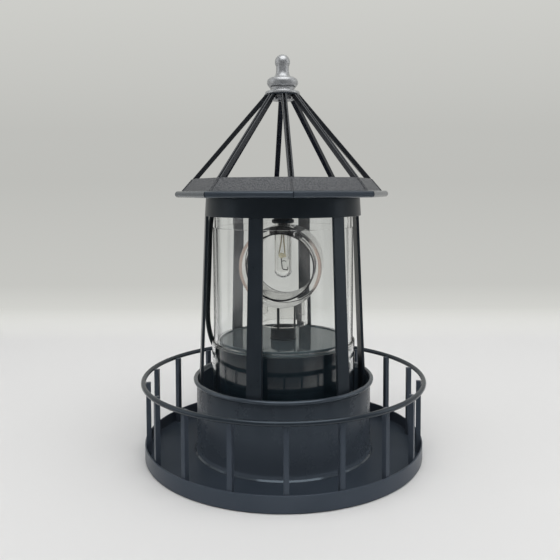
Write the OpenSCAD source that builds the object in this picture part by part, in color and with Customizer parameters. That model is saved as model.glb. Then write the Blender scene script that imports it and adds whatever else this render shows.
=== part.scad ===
// Garden lighthouse ornament: a solar lantern whose clear lens turns round its bulb.
// Millimetres. The origin is the centre of the underside, +Z is up, the front faces -Y.
// A turn is an angle seen from above, measured from the front towards +X.

/* [Gallery] */
// Outside diameter of the handrail
rail_d = 150; // [130:1:180]
// Height of the handrail above the ground
rail_h = 41; // [20:0.5:60]
// Thickness of the handrail's round bar
rail_t = 2.5; // [2:0.1:5]
// Number of balusters under the handrail
baluster_n = 18; // [6:1:24]
// Side of a square baluster
baluster_w = 2.5; // [1.5:0.1:4]
// Turn of the first baluster
baluster_turn = 0.9; // [-11:0.1:11]
// How far the balusters stop below the top of the handrail
baluster_drop = 0.4; // [0:0.1:1.2]
// Height of the tray's rim
rim_h = 8.2; // [5:0.1:20]
// Thickness of the tray's rim
rim_t = 0.8; // [0.6:0.1:3]
// Thickness of the tray's floor
floor_t = 2; // [1.7:0.1:5]

/* [Drum] */
// Space between the clear tube's foot and the drum's wall
drum_gap = 7; // [6:0.1:12]
// Height of the drum above the tray's floor
drum_h = 38.6; // [25:0.1:55]
// Thickness of the drum's wall
drum_t = 1.2; // [0.8:0.1:2]
// How far the rolled bead and the foot stand out from the wall
bead_out = 1.7; // [0.6:0.1:4]
// Height of the rolled bead
bead_h = 2.4; // [1.6:0.1:5]
// Height of the drum's foot
foot_h = 1.4; // [0.8:0.1:4]
// Thickness of the ledge inside the drum that carries the clear tube
ledge_t = 3; // [2.6:0.1:8]
// Depth of the post pockets in the ledge
pocket_d = 2; // [1:0.1:2.4]

/* [Cage] */
// Height from the tray's floor to the underside of the collar
cage_h = 123.6; // [118:0.1:160]
// Number of posts
post_n = 6; // [3:1:6]
// Turn of the first post
post_turn = -18.5; // [-20:0.1:-14]
// Width of a post at the collar
post_w_top = 7.1; // [4:0.1:9]
// Width of a post at the drum
post_w_foot = 7.9; // [4:0.1:9]
// Thickness of a post
post_t = 1.5; // [1.2:0.1:2]
// Length of the thin tongue on top of a post
tongue_h = 5; // [3:0.1:7]
// Height of the collar
collar_h = 9.6; // [9.2:0.1:20]
// How much narrower the collar's top is, on the radius
collar_flare = 0.6; // [0:0.1:0.8]
// Thickness of the collar's wall
collar_t = 1.4; // [1.2:0.1:2]
// Thickness of the flange that carries the roof
flange_t = 1.6; // [1:0.1:2]
// Width of that flange inside the collar's wall
flange_w = 9.2; // [9:0.1:20]

/* [Clear tube] */
// Outside diameter of the clear tube
tube_d = 74.2; // [73:0.1:74.8]
// Thickness of the clear tube
tube_t = 2; // [1.6:0.1:2.2]
// How much thinner the neck in the collar is than the tube, on the radius
neck_step = 0.85; // [0.4:0.05:1.4]
// Length of the neck below the lamp plate
neck_h = 7; // [3:0.1:14]
// How far the wide foot stands out from the tube
tube_foot_step = 0.9; // [0.7:0.1:3]
// Height of the wide foot
tube_foot_h = 55; // [40:0.1:60]
// Thickness of the wide foot
tube_foot_t = 1.2; // [0.8:0.1:1.3]
// Thickness of the shoulder that closes the wide foot
shoulder_t = 1.5; // [1:0.1:3]

/* [Lamp] */
// Height of the lamp plate above the collar's lower edge
plate_rise = 1; // [0.5:0.1:1.5]
// Thickness of the lamp plate
plate_t = 2; // [1.2:0.1:2.3]
// How far the lamp plate stands out over the tube's neck
plate_lap = 2.75; // [1:0.05:4]
// Diameter of the socket's body
socket_d = 9.6; // [7:0.1:12]
// Length of the socket's body below the lamp plate
socket_h = 6.8; // [4:0.1:10]
// Diameter of the socket's collar
socket_neck_d = 7.8; // [6:0.1:9]
// Length of the socket's collar
socket_neck_h = 1.7; // [1:0.1:4]
// Diameter of the bulb's glass
bulb_d = 9; // [6:0.1:10]
// Length of the bulb's glass below the socket
bulb_h = 26.2; // [18:0.1:28]
// Thickness of the bulb's glass
bulb_t = 0.6; // [0.4:0.1:1.2]
// Thickness of the wires in the bulb
lead_d = 0.6; // [0.4:0.1:1]

/* [Lens] */
// Outside diameter of the lens barrel
lens_d = 42.4; // [36:0.1:46]
// Thickness of the barrel's wall
lens_t = 4.4; // [2:0.1:5]
// Length of the barrel along its axis
lens_l = 28; // [27:0.1:36]
// Depth of the barrel's centre below the lamp plate
lens_drop = 27.2; // [25:0.1:30]
// Turn of the barrel at rest
lens_turn = -7; // [-90:1:90]
// Diameter of the hole on top that the bulb hangs through
lens_port_d = 13.4; // [13:0.1:20]
// Outside diameter of the clear skirt below the barrel
skirt_cup_d = 26; // [20:0.1:27]
// Thickness of the clear skirt
skirt_cup_t = 1.2; // [0.8:0.1:2]
// How far the clear skirt reaches below the barrel
skirt_cup_drop = 10.4; // [8:0.1:10.9]
// How far the two rounded tongues reach below the barrel
tab_drop = 5.6; // [3:0.1:7]
// Width of a tongue
tab_w = 3.2; // [2:0.1:4]
// Outside diameter of the lens stem
stem_d = 10.4; // [8:0.1:11]
// Thickness of the lens stem
stem_t = 1.6; // [1:0.1:2.4]
// Diameter of the coupling knob
knob_d = 13.4; // [13:0.1:16]
// Height of the coupling knob
knob_h = 6.1; // [6:0.1:6.8]
// Diameter of the knob's foot
knob_foot_d = 16; // [13.6:0.1:20]
// Height of the two prongs that stand on the knob
prong_h = 11.7; // [4:0.1:11.7]
// Width of a prong
prong_w = 1.1; // [0.8:0.1:2]
// Thickness of a prong
prong_t = 1; // [0.8:0.1:1.1]
// Turn of the first prong, seen from above
prong_turn = -115; // [-180:1:180]
// Angle between the two prongs
prong_step = 115; // [60:1:300]
// Depth of the knob's socket for the stem
knob_socket = 2.8; // [2:0.1:3]

/* [Housing] */
// Space between the housing's deck and the clear tube
deck_gap = 1.2; // [1:0.1:3]
// Height of the housing up to its deck
house_h = 58.1; // [57:0.1:62]
// Thickness of the housing's wall
house_t = 1.6; // [1.2:0.1:2.2]
// Thickness of the housing's floor
house_floor = 2.4; // [2.2:0.1:4]
// Thickness of the deck
deck_t = 2.5; // [2:0.1:4]
// Height of the raised lip round the deck
lip_h = 0.5; // [0.2:0.1:1.5]
// Depth of the deck's spigot in the housing
spigot_h = 2; // [1:0.1:4]
// Side distance of the pillars from the centre
pillar_x = 12; // [10:0.1:13]
// Distance of the pillars' middles from the housing's wall
pillar_in = 5.47; // [5.2:0.01:6]
// Diameter of a pillar
pillar_d = 6; // [5.4:0.1:6.6]

/* [Power] */
// Space between the battery bay's corners and the housing's wall
bay_in = 1.06; // [0.6:0.01:6]
// Diameter of the battery
battery_d = 14.5; // [10:0.1:14.8]
// Fore and aft place of the battery
battery_y = -5; // [-5.2:0.1:-4.8]
// Length of the pressed contact spring
spring_l = 2.2; // [1.5:0.1:2.6]
// Thickness of the contact plates
contact_t = 0.4; // [0.3:0.1:0.8]
// Thickness of the battery door
door_t = 1.4; // [1:0.1:1.6]
// Overlap of the door on the floor round the battery bay
door_lap = 1; // [0.6:0.1:1.2]
// Height of the circuit board above the housing's floor
board_rise = 15.6; // [15:0.1:18]
// Space between the circuit board and the housing's wall
board_in = 1.8; // [1:0.1:4]
// Thickness of the circuit board
board_t = 1.6; // [0.8:0.1:2]
// Travel of the switch
switch_travel = 2; // [1.5:0.1:2.5]
// Side place of the switch at the middle of its travel
switch_x = -16; // [-18:0.1:-14]
// Fore and aft place of the switch
switch_y = 9.8; // [9.6:0.1:10.4]

/* [Movement] */
// Size of the gear teeth as pitch diameter for each tooth
gear_module = 0.5; // [0.48:0.01:0.52]
// Teeth on each wheel
wheel_teeth = 40; // [38:1:42]
// Teeth on each pinion
pinion_teeth = 10; // [9:1:12]
// Height of a gear wheel
wheel_h = 2.5; // [1.5:0.1:3]
// Diameter of the output shaft in its bush
shaft_d = 4; // [3:0.1:5]
// Diameter of the idler's pin
pin_d = 2; // [1.6:0.1:2.4]
// Diameter of the motor
motor_d = 15; // [12:0.1:18]
// Length of the motor
motor_l = 15; // [10:0.1:18]
// Diameter of the motor's shaft
motor_shaft_d = 1.5; // [1:0.1:2]
// Thickness of the movement's plate
plate_move_t = 2; // [1.6:0.1:2.6]
// Space between the movement's plate and the housing's wall
plate_move_in = 3.14; // [2:0.01:4]
// Depth of the movement's plate under the deck
move_drop = 11.6; // [11:0.1:14]

/* [Roof] */
// Width of the roof across its flat sides
roof_w = 105; // [98:0.5:130]
// Thickness of the brim
brim_t = 3.3; // [3:0.1:6]
// Width of the flat brim outside the sloping skirt
brim_ledge = 3.6; // [2:0.1:8]
// Thickness of the roof's floor
roof_floor_t = 2; // [1.4:0.1:2.6]
// Height of the sloping skirt above the brim
skirt_h = 6.5; // [5.6:0.1:14]
// Thickness of the sloping skirt
skirt_t = 1.5; // [1:0.1:2]
// Rise of the ribs from the brim to the cap
roof_h = 49.9; // [40:0.1:70]
// Width of a rib
rib_w = 2.8; // [2:0.1:4]
// Depth of a rib
rib_d = 2.4; // [1.8:0.1:3]
// Width of the groove along a rib
groove_w = 0.7; // [0.4:0.1:1.2]
// Depth of that groove
groove_d = 0.5; // [0.2:0.1:0.9]
// Turn of the first rib
rib_turn = 4.8; // [-22:0.1:22]
// Diameter of the cap over the ribs, across its corners
cap_d = 19.4; // [18.6:0.1:26]
// Thickness of the cap
cap_t = 0.6; // [0.6:0.1:3]
// Diameter of the boss under the cap
boss_d = 12; // [8:0.1:13]
// Height of the boss under the cap
boss_h = 2.4; // [2:0.1:5]
// Thickness of the solar panel
panel_t = 2.4; // [1.6:0.1:2.8]
// Thickness of the panel's tray
tray_t = 1.4; // [1:0.1:1.8]
// Height of the tray above the roof's floor
tray_rise = 2; // [1.9:0.1:2.4]
// Width of the tray's lip round the panel
tray_lip = 1.2; // [0.8:0.1:2]

/* [Finial] */
// Height of the finial
finial_h = 21; // [14:0.1:30]
// Diameter of the finial's foot
finial_foot_d = 18.3; // [14:0.1:18.4]
// Diameter of the neck above the foot
finial_neck_d = 12.8; // [8:0.1:14]
// Diameter of the ring bead
finial_bead_d = 16.4; // [13:0.1:18]
// Diameter of the stem below the ball
finial_stem_d = 6.6; // [5:0.1:8]
// Diameter of the ball
finial_ball_d = 8; // [7:0.1:12]

/* [Cable] */
// Diameter of the solar cable
cable_d = 2.6; // [2:0.1:2.7]

/* [Hidden] */
$fn = 96;
POSTS = [for (i = [1:post_n]) str("post_", i)];
RIB_N = 8;
RIBS = [for (i = [1:RIB_N]) str("roof_rib_", i)];

eps = 0.01;
// Gap between pieces that slip together, and round a shaft that turns
fit = 0.1;
run = 0.05;
snug = 0.02;

// Heights of the main levels, from the ground up
ledge_z = floor_t + ledge_t;
drum_top = floor_t + drum_h;
collar_z = floor_t + cage_h;
roof_z = collar_z + collar_h;
brim_z = roof_z + brim_t;
skirt_z = brim_z + skirt_h;
cap_z = brim_z + roof_h;
finial_z = cap_z + cap_t;
tube_top = collar_z + plate_rise;
shoulder_z = ledge_z + tube_foot_h;
deck_z = floor_t + house_h;
deck_under = deck_z - deck_t;
inner_z = floor_t + house_floor;
board_z = inner_z + board_rise;

// Radii that several pieces share, all from the clear tube outwards and inwards
gallery_r = rail_d / 2 - rail_t;
tube_r = tube_d / 2;
tube_in = tube_r - tube_t;
neck_r = tube_r - neck_step;
tube_foot_r = tube_r + tube_foot_step;
tube_foot_in = tube_foot_r - tube_foot_t;
drum_in = tube_foot_r + drum_gap;
drum_r = drum_in + drum_t;
plate_r = neck_r + plate_lap;
collar_in = plate_r + 2 * fit;
collar_r = collar_in + collar_t + collar_flare;
flange_in = collar_in - flange_w;
house_r = tube_in - deck_gap;
house_in = house_r - house_t;
ledge_in = house_r + 5 * fit;
board_r = house_in - board_in;
pillar_y = sqrt(pow(house_in - pillar_in, 2) - pow(pillar_x, 2));

// Places shapes at a turn, with +X outwards and +Y along the wall
module at_turn(a) rotate([0, 0, a - 90]) children();

// Points on an arc about [x, y], from angle a to angle b
function arc(x, y, r, a, b, n) =
  [for (i = [0:n]) let (t = a + (b - a) * i / n) [x + r * cos(t), y + r * sin(t)]];

// A closed tube through rings of points, with m points in each ring
module ring_tube(rings, m) {
  n = len(rings);
  polyhedron(
    points = [for (ring = rings) for (p = ring) p],
    faces = concat(
      [[for (k = [0:m - 1]) k]],
      [[for (k = [0:m - 1]) (n - 1) * m + m - 1 - k]],
      [for (i = [0:n - 2]) for (k = [0:m - 1])
        [i * m + k, (i + 1) * m + k, (i + 1) * m + (k + 1) % m, i * m + (k + 1) % m]]
    )
  );
}

// Countersunk screw with its head at the bottom, standing on the origin
screw_core = 2.2;
head_d = 4.4;
head_h = 1.2;
module flat_screw(l) {
  cylinder(d1 = head_d, d2 = screw_core, h = head_h);
  cylinder(d = screw_core, h = l, $fn = 32);
}
// Hole for the screw above, with a straight shank all the way
module flat_screw_hole(l) {
  translate([0, 0, -eps])
    cylinder(d1 = head_d + 2 * fit, d2 = screw_core + 2 * fit, h = head_h + fit);
  cylinder(d = screw_core + 2 * snug, h = l, $fn = 32);
}

// Pan screw that hangs down from a head that stands on the origin plane
pan_core = 1.8;
pan_d = 3.8;
pan_h = 1.3;
module pan_screw(l) {
  cylinder(d = pan_d, h = pan_h, $fn = 32);
  translate([0, 0, -l]) cylinder(d = pan_core, h = l, $fn = 32);
}

// Places of the screws under the drum, midway between the posts
drum_screw_n = 3;
drum_screw_r = (drum_in + tube_foot_r) / 2;
drum_screw_l = floor_t + ledge_t - 0.6;
module drum_screw_places()
  for (i = [0:drum_screw_n - 1])
    at_turn(post_turn + 180 / post_n + i * 360 / drum_screw_n)
      translate([drum_screw_r, 0, 0]) children();

// Places of the four housing pillars
module pillar_places()
  for (sx = [-1, 1], sy = [-1, 1]) translate([sx * pillar_x, sy * pillar_y, 0]) children();

// Battery bay, the door over it and the opening in the tray below them
bay_gap = 0.5;
bay_wall = 1.2;
bay_w = battery_d + 2 * bay_gap;
bay_edge = abs(battery_y) + bay_w / 2 + bay_wall;
bay_l = 2 * (sqrt(pow(house_in - bay_in, 2) - pow(bay_edge, 2)) - bay_wall);
battery_l = bay_l - spring_l - 2 * contact_t;
bay_h = 10;
door_l = bay_l + 2 * door_lap;
door_w = bay_w + 2 * door_lap;
ear_r = 3;
ear_y = door_w / 2 + 1.6;
access_gap = 0.8;
access_l = door_l + 2 * access_gap;
access_back = 4.2;

// Tray
module gallery_tray() color("#23272b") difference() {
  union() {
    cylinder(r = gallery_r + rim_t, h = floor_t, $fn = 192);
    difference() {
      cylinder(r = gallery_r + rim_t, h = rim_h, $fn = 192);
      translate([0, 0, floor_t]) cylinder(r = gallery_r, h = rim_h, $fn = 192);
    }
  }
  translate([-access_l / 2, battery_y - door_w / 2 - access_gap, -1])
    cube([access_l, switch_y - battery_y + door_w / 2 + access_gap + access_back, floor_t + 2]);
  drum_screw_places() flat_screw_hole(floor_t + 1);
  pillar_places() flat_screw_hole(floor_t + 1);
}

module handrail() color("#23272b")
  translate([0, 0, rail_h - rail_t / 2])
    rotate_extrude($fn = 192) translate([rail_d / 2 - rail_t / 2, 0]) circle(d = rail_t, $fn = 24);

// Square bars between the tray's floor and the handrail, outer corners on its inside
baluster_in = sqrt(pow(gallery_r, 2) - pow(baluster_w / 2, 2)) - baluster_w;
module balusters() color("#23272b")
  for (i = [0:baluster_n - 1]) at_turn(baluster_turn + i * 360 / baluster_n)
    translate([baluster_in, -baluster_w / 2, floor_t])
      cube([baluster_w, baluster_w, rail_h - baluster_drop - floor_t]);

// Drum: a wall with a rolled bead, a foot and an inner ledge
post_foot_r = sqrt(pow(drum_in - 2 * fit, 2) - pow(post_w_foot / 2 + fit, 2));
module drum() color("#272b2f") difference() {
  rotate_extrude($fn = 144) polygon(concat(
    [[ledge_in, floor_t], [drum_r + bead_out, floor_t], [drum_r + bead_out, floor_t + foot_h * 0.6]],
    arc(drum_r + bead_out * 0.4, floor_t + foot_h * 0.6, bead_out * 0.6, 20, 90, 3),
    [[drum_r, floor_t + foot_h * 0.6 + bead_out * 0.6], [drum_r, drum_top - bead_h]],
    arc(drum_r + bead_out - bead_h / 2, drum_top - bead_h / 2, bead_h / 2, -80, 90, 8),
    [[drum_in, drum_top], [drum_in, ledge_z], [ledge_in, ledge_z]]
  ));
  drum_screw_places() flat_screw_hole(drum_screw_l + 0.2);
  for (i = [0:post_n - 1]) at_turn(post_turn + i * 360 / post_n)
    translate([post_foot_r - post_t - fit, -post_w_foot / 2 - fit, ledge_z - pocket_d])
      cube([post_t + 2 * fit, post_w_foot + 2 * fit, pocket_d + 1]);
}
module drum_screws() color("silver") drum_screw_places() flat_screw(drum_screw_l);

// Posts: a foot inside the drum, a leaning strip and a thin tongue in the collar
post_top_r = sqrt(pow(collar_r, 2) - pow(post_w_top / 2, 2));
post_slope = (post_foot_r - post_top_r) / (collar_z - drum_top);
tongue_z = collar_z + tongue_h;
// Radius of a post's outer face at height z
function post_face(z) = z < drum_top ? post_foot_r : post_top_r - post_slope * (z - collar_z);
// A shape in side view, w wide, from points [offset from the post's outer face, height]
module post_side(w, pts) rotate([90, 0, 0]) linear_extrude(w, center = true)
  polygon([for (p = pts) [post_face(p[1]) + p[0], p[1]]]);
module tongue_slot(g) post_side(post_w_top + 2 * g, [
  [-post_t - g, collar_z - 1], [g - post_t / 2, collar_z - 1],
  [g - post_t / 2, tongue_z + g], [-post_t - g, tongue_z + g]
]);
module post(i) color("#23272b") at_turn(post_turn + i * 360 / post_n) intersection() {
  post_side(2 * post_w_foot, [
    [0, ledge_z - pocket_d], [0, drum_top], [0, collar_z],
    [-post_t / 2, collar_z], [-post_t / 2, tongue_z], [-post_t, tongue_z],
    [-post_t, drum_top], [-post_t, ledge_z - pocket_d]
  ]);
  rotate([90, 0, 90]) linear_extrude(2 * drum_r) polygon([
    [-post_w_foot / 2, 0], [post_w_foot / 2, 0],
    [post_w_foot / 2, drum_top], [post_w_top / 2, collar_z],
    [post_w_top / 2, roof_z], [-post_w_top / 2, roof_z],
    [-post_w_top / 2, collar_z], [-post_w_foot / 2, drum_top]
  ]);
}

// Collar: a flared band with a flange and four screw bosses
roof_screw_in = 4;
roof_screw_r = flange_in + roof_screw_in;
roof_screw_n = 4;
roof_boss_d = 5.6;
roof_boss_h = 4;
module roof_screw_places()
  for (i = [0:roof_screw_n - 1])
    at_turn(45 + i * 360 / roof_screw_n) translate([roof_screw_r, 0, 0]) children();
module collar() color("#23272b") difference() {
  union() {
    rotate_extrude($fn = 144) polygon([
      [collar_r - collar_t, collar_z], [collar_r, collar_z], [collar_r - collar_flare, roof_z],
      [flange_in, roof_z], [flange_in, roof_z - flange_t],
      [collar_in, roof_z - flange_t]
    ]);
    roof_screw_places() translate([0, 0, roof_z - flange_t - roof_boss_h])
      cylinder(d = roof_boss_d, h = roof_boss_h + eps, $fn = 48);
  }
  roof_screw_places() translate([0, 0, roof_z - flange_t - roof_boss_h - 1])
    cylinder(d = pan_core + 2 * snug, h = roof_boss_h + flange_t + 2, $fn = 32);
  for (i = [0:post_n - 1]) at_turn(post_turn + i * 360 / post_n) tongue_slot(fit);
}

// Solar cable: points [distance left of the centre, height] along the middle of the cable
CABLE = [
  [24, 21.6], [24, 23], [24, 26], [24.2, 32], [25, 38], [27, 42.6],
  [30.4, 45.4], [33.4, 47.4], [35.1, 50],
  [35.7, 52.6], [36.7, 55.2], [38, 58], [39.2, 62], [40.1, 67], [40.4, 73], [40.2, 81], [39.8, 90],
  [39.4, 100], [39, 110], [38.7, 118], [38, 124], [37.4, 127.6], [35.6, 129.8], [32.6, 131],
  [28, 131.2], [20, 131.2], [12, 131.2], [7.6, 131.4], [4, 132.6], [1.4, 134.6], [0, 137.2],
  [0, 138.4], [0, 139.6], [0, 140.6]
];
cable_steps = 2;
cable_sides = 8;
function spline(a, b, c, d, t) =
  0.5 * (2 * b + (c - a) * t + (2 * a - 5 * b + 4 * c - d) * t * t
    + (3 * b - a - 3 * c + d) * t * t * t);
CABLE_LAST = len(CABLE) - 1;
CABLE_LINE = concat(
  [for (i = [0:CABLE_LAST - 1]) for (k = [0:cable_steps - 1]) spline(
    CABLE[max(i - 1, 0)], CABLE[i], CABLE[i + 1], CABLE[min(i + 2, CABLE_LAST)], k / cable_steps)],
  [CABLE[CABLE_LAST]]
);
function cable_ring(i) =
  let (
    n = len(CABLE_LINE) - 1,
    p = CABLE_LINE[i],
    d = CABLE_LINE[min(i + 1, n)] - CABLE_LINE[max(i - 1, 0)],
    u = d / norm(d)
  )
  [for (k = [0:cable_sides - 1]) let (a = 360 * k / cable_sides, s = cable_d / 2)
    [-(p[0] - u[1] * s * cos(a)), s * sin(a), p[1] + u[0] * s * cos(a)]];
module solar_cable() color("#1b1d20")
  ring_tube([for (i = [0:len(CABLE_LINE) - 1]) cable_ring(i)], cable_sides);
// Slot for the cable, from radius a out to radius b and from height z0 to z1
cable_slot = cable_d + 6 * fit;
module cable_way(a, b, z0, z1)
  translate([-b, -cable_slot / 2, z0]) cube([b - a, cable_slot, z1 - z0]);

// Clear tube: a wide foot round the housing, the window and a neck in the collar
cable_entry_z = shoulder_z - 9;
module clear_tube() color("#dfe6e6", 0.35) difference() {
  rotate_extrude($fn = 144) polygon([
    [tube_foot_in, ledge_z], [tube_foot_r, ledge_z], [tube_foot_r, shoulder_z],
    [tube_r, shoulder_z], [tube_r, tube_top - neck_h], [neck_r, tube_top - neck_h],
    [neck_r, tube_top], [tube_in, tube_top], [tube_in, shoulder_z - shoulder_t],
    [tube_foot_in, shoulder_z - shoulder_t]
  ]);
  cable_way(tube_foot_in - 1, tube_foot_r + 1, cable_entry_z, shoulder_z - shoulder_t);
  cable_way(tube_r - 0.6, tube_foot_r + 1, shoulder_z - shoulder_t - eps, shoulder_z + 1);
}

// Lamp plate: closes the tube and holds the bulb's socket
plate_top = tube_top + plate_t;
plug_t = 1.2;
plug_h = 1.2;
socket_bore = 4;
module lamp_plate() color("#1f2326") difference() {
  union() {
    translate([0, 0, tube_top]) cylinder(r = plate_r, h = plate_t, $fn = 144);
    translate([0, 0, tube_top - plug_h]) difference() {
      cylinder(r = tube_in - fit, h = plug_h + eps, $fn = 144);
      translate([0, 0, -1]) cylinder(r = tube_in - fit - plug_t, h = plug_h + 1, $fn = 144);
    }
  }
  cable_way(neck_r - 1.8, plate_r + 1, tube_top - eps, plate_top + 1);
  translate([0, 0, tube_top - 1]) cylinder(d = socket_bore + 2 * snug, h = plate_t + 2, $fn = 48);
}

// Bulb: stepped socket, glass capsule, and wires inside it
socket_z = tube_top - socket_h;
socket_neck_z = socket_z - socket_neck_h;
socket_tip_d = 5.6;
socket_tip_h = 1.4;
bulb_top = socket_neck_z;
bulb_in = bulb_d / 2 - bulb_t;
module bulb_socket() color("#1b1f24") union() {
  translate([0, 0, socket_z]) cylinder(d = socket_d, h = socket_h, $fn = 64);
  translate([0, 0, socket_neck_z]) cylinder(d = socket_neck_d, h = socket_neck_h + eps, $fn = 64);
  translate([0, 0, socket_neck_z - socket_tip_h])
    cylinder(d = socket_tip_d, h = socket_tip_h + eps, $fn = 64);
  translate([0, 0, tube_top - eps]) cylinder(d = socket_bore, h = plate_t + 0.8, $fn = 48);
}
module bulb_glass() color("#e8efef", 0.4) rotate_extrude($fn = 64) polygon(concat(
  arc(0, bulb_top - bulb_h + bulb_d / 2, bulb_d / 2, -90, 0, 10),
  [[bulb_d / 2, bulb_top], [bulb_in, bulb_top]],
  arc(0, bulb_top - bulb_h + bulb_d / 2, bulb_in, 0, -90, 10)
));
// Two sloping lead wires, the small crystal they hold, and the hook below it
lead_top = socket_neck_z - socket_tip_h;
crystal_z = lead_top - 11.4;
hook_h = 5;
module bulb_leads() color("#b08a3c") union() {
  for (s = [-1, 1]) hull() {
    translate([s * 0.5, 0, lead_top - lead_d / 2]) sphere(d = lead_d, $fn = 16);
    translate([s * 1.7, 0, crystal_z]) sphere(d = lead_d, $fn = 16);
  }
  translate([0, 0, crystal_z]) rotate([0, 90, 0]) cylinder(d = 2.2, h = 4.6, center = true, $fn = 24);
  hull() {
    translate([0, 0, crystal_z - 0.6]) sphere(d = lead_d, $fn = 16);
    translate([0.9, 0, crystal_z - hook_h]) sphere(d = lead_d, $fn = 16);
  }
  hull() {
    translate([0.9, 0, crystal_z - hook_h]) sphere(d = lead_d, $fn = 16);
    translate([3, 0, crystal_z - hook_h]) sphere(d = lead_d, $fn = 16);
  }
}

// Lens: an open barrel on a clear skirt and a hollow stem
lens_z = tube_top - lens_drop;
knob_gap = fit;
knob_z = deck_z + knob_gap;
knob_top = knob_z + knob_h;
stem_z = knob_top - knob_socket;
cup_z = lens_z - lens_d / 2 - skirt_cup_drop;
tab_z = lens_z - lens_d / 2 - tab_drop;
tab_x = skirt_cup_d / 2 - skirt_cup_t - tab_w / 2 - 0.1;
module barrel(r, l)
  translate([0, 0, lens_z]) rotate([90, 0, 0]) cylinder(r = r, h = l, center = true, $fn = 96);
module lens() color("#e6ecec", 0.4) rotate([0, 0, lens_turn]) difference() {
  union() {
    barrel(lens_d / 2, lens_l);
    difference() {
      translate([0, 0, cup_z]) cylinder(d = skirt_cup_d, h = lens_z - cup_z, $fn = 96);
      translate([0, 0, cup_z - 1]) cylinder(d = skirt_cup_d - 2 * skirt_cup_t, h = lens_z - cup_z, $fn = 96);
    }
    difference() {
      translate([0, 0, stem_z]) cylinder(d = stem_d, h = lens_z - stem_z, $fn = 64);
      translate([0, 0, stem_z - 1])
        cylinder(d = stem_d - 2 * stem_t, h = lens_z - lens_d / 2 - stem_z + 1.5, $fn = 64);
    }
    for (s = [-1, 1]) translate([s * tab_x, 0, tab_z + tab_w / 2]) rotate([90, 0, 0]) {
      cylinder(d = tab_w, h = 2, center = true, $fn = 32);
      translate([-tab_w / 2, 0, -1]) cube([tab_w, tab_drop + 3, 2]);
    }
  }
  barrel(lens_d / 2 - lens_t, lens_l + 2);
  translate([0, 0, lens_z]) cylinder(d = lens_port_d, h = lens_d, $fn = 64);
}

// Knob that joins the lens to the output shaft
knob_edge = 1;
knob_foot_h = 0.8;
prong_edge = 0.1;
prong_in = 3;
module coupling_knob() color("#1b1d1f") difference() {
  union() {
    rotate_extrude($fn = 72) polygon([
      [0, knob_z], [knob_foot_d / 2, knob_z], [knob_foot_d / 2, knob_z + knob_foot_h],
      [knob_d / 2, knob_z + knob_foot_h], [knob_d / 2, knob_top - knob_edge],
      [knob_d / 2 - knob_edge, knob_top], [0, knob_top]
    ]);
    for (k = [0, 1]) rotate([0, 0, prong_turn + k * prong_step])
      translate([knob_d / 2 - prong_edge - prong_t, -prong_w / 2, knob_top - prong_in])
        cube([prong_t, prong_w, prong_in + prong_h]);
  }
  translate([0, 0, stem_z]) cylinder(d = stem_d + 2 * snug, h = knob_socket + 1, $fn = 64);
  translate([0, 0, knob_z - 1]) cylinder(d = shaft_d + 2 * snug, h = stem_z - knob_z + 2, $fn = 48);
}

// Housing: a cup with the battery bay, the pillars and the switch slot
housing_screw_in = 5.6;
board_screw_in = 5;
cable_hole_h = 7.2;
nub = 1.8;
slot_l = nub + switch_travel + 2 * fit;
slot_w = nub + 2 * fit;
module door_outline(g) {
  translate([-door_l / 2 - g, battery_y - door_w / 2 - g]) square([door_l + 2 * g, door_w + 2 * g]);
  translate([0, battery_y + ear_y]) circle(r = ear_r + g, $fn = 48);
}
module housing_cup() color("#1f2326") difference() {
  union() {
    difference() {
      translate([0, 0, floor_t]) cylinder(r = house_r, h = deck_under - floor_t, $fn = 144);
      translate([0, 0, inner_z]) cylinder(r = house_in, h = house_h, $fn = 144);
    }
    pillar_places() translate([0, 0, inner_z - eps]) cylinder(d = pillar_d, h = board_rise + eps, $fn = 48);
    translate([-bay_l / 2 - bay_wall, battery_y - bay_w / 2 - bay_wall, inner_z - eps])
      cube([bay_l + 2 * bay_wall, bay_w + 2 * bay_wall, bay_h]);
    translate([0, battery_y + ear_y, inner_z - eps]) cylinder(r = ear_r, h = 4, $fn = 48);
  }
  translate([-bay_l / 2, battery_y - bay_w / 2, floor_t - 1])
    cube([bay_l, bay_w, bay_h + house_floor + 2]);
  translate([0, 0, floor_t - 1]) linear_extrude(door_t + fit + 1) door_outline(fit);
  translate([0, battery_y + ear_y, floor_t])
    cylinder(d = screw_core + 2 * snug, h = house_floor + 3, $fn = 32);
  pillar_places() translate([0, 0, floor_t - 1])
    cylinder(d = screw_core + 2 * snug, h = housing_screw_in + 1.8, $fn = 32);
  pillar_places() translate([0, 0, board_z - board_screw_in - 1])
    cylinder(d = pan_core + 2 * snug, h = board_screw_in + 2, $fn = 32);
  translate([switch_x - slot_l / 2, switch_y - slot_w / 2, floor_t - 1])
    cube([slot_l, slot_w, house_floor + 2]);
  cable_way(house_in - 2, house_r + 1, cable_entry_z - cable_hole_h, cable_entry_z + 1);
}
housing_screw_l = floor_t + housing_screw_in;
module housing_screws() color("silver") pillar_places() flat_screw(housing_screw_l);

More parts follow.
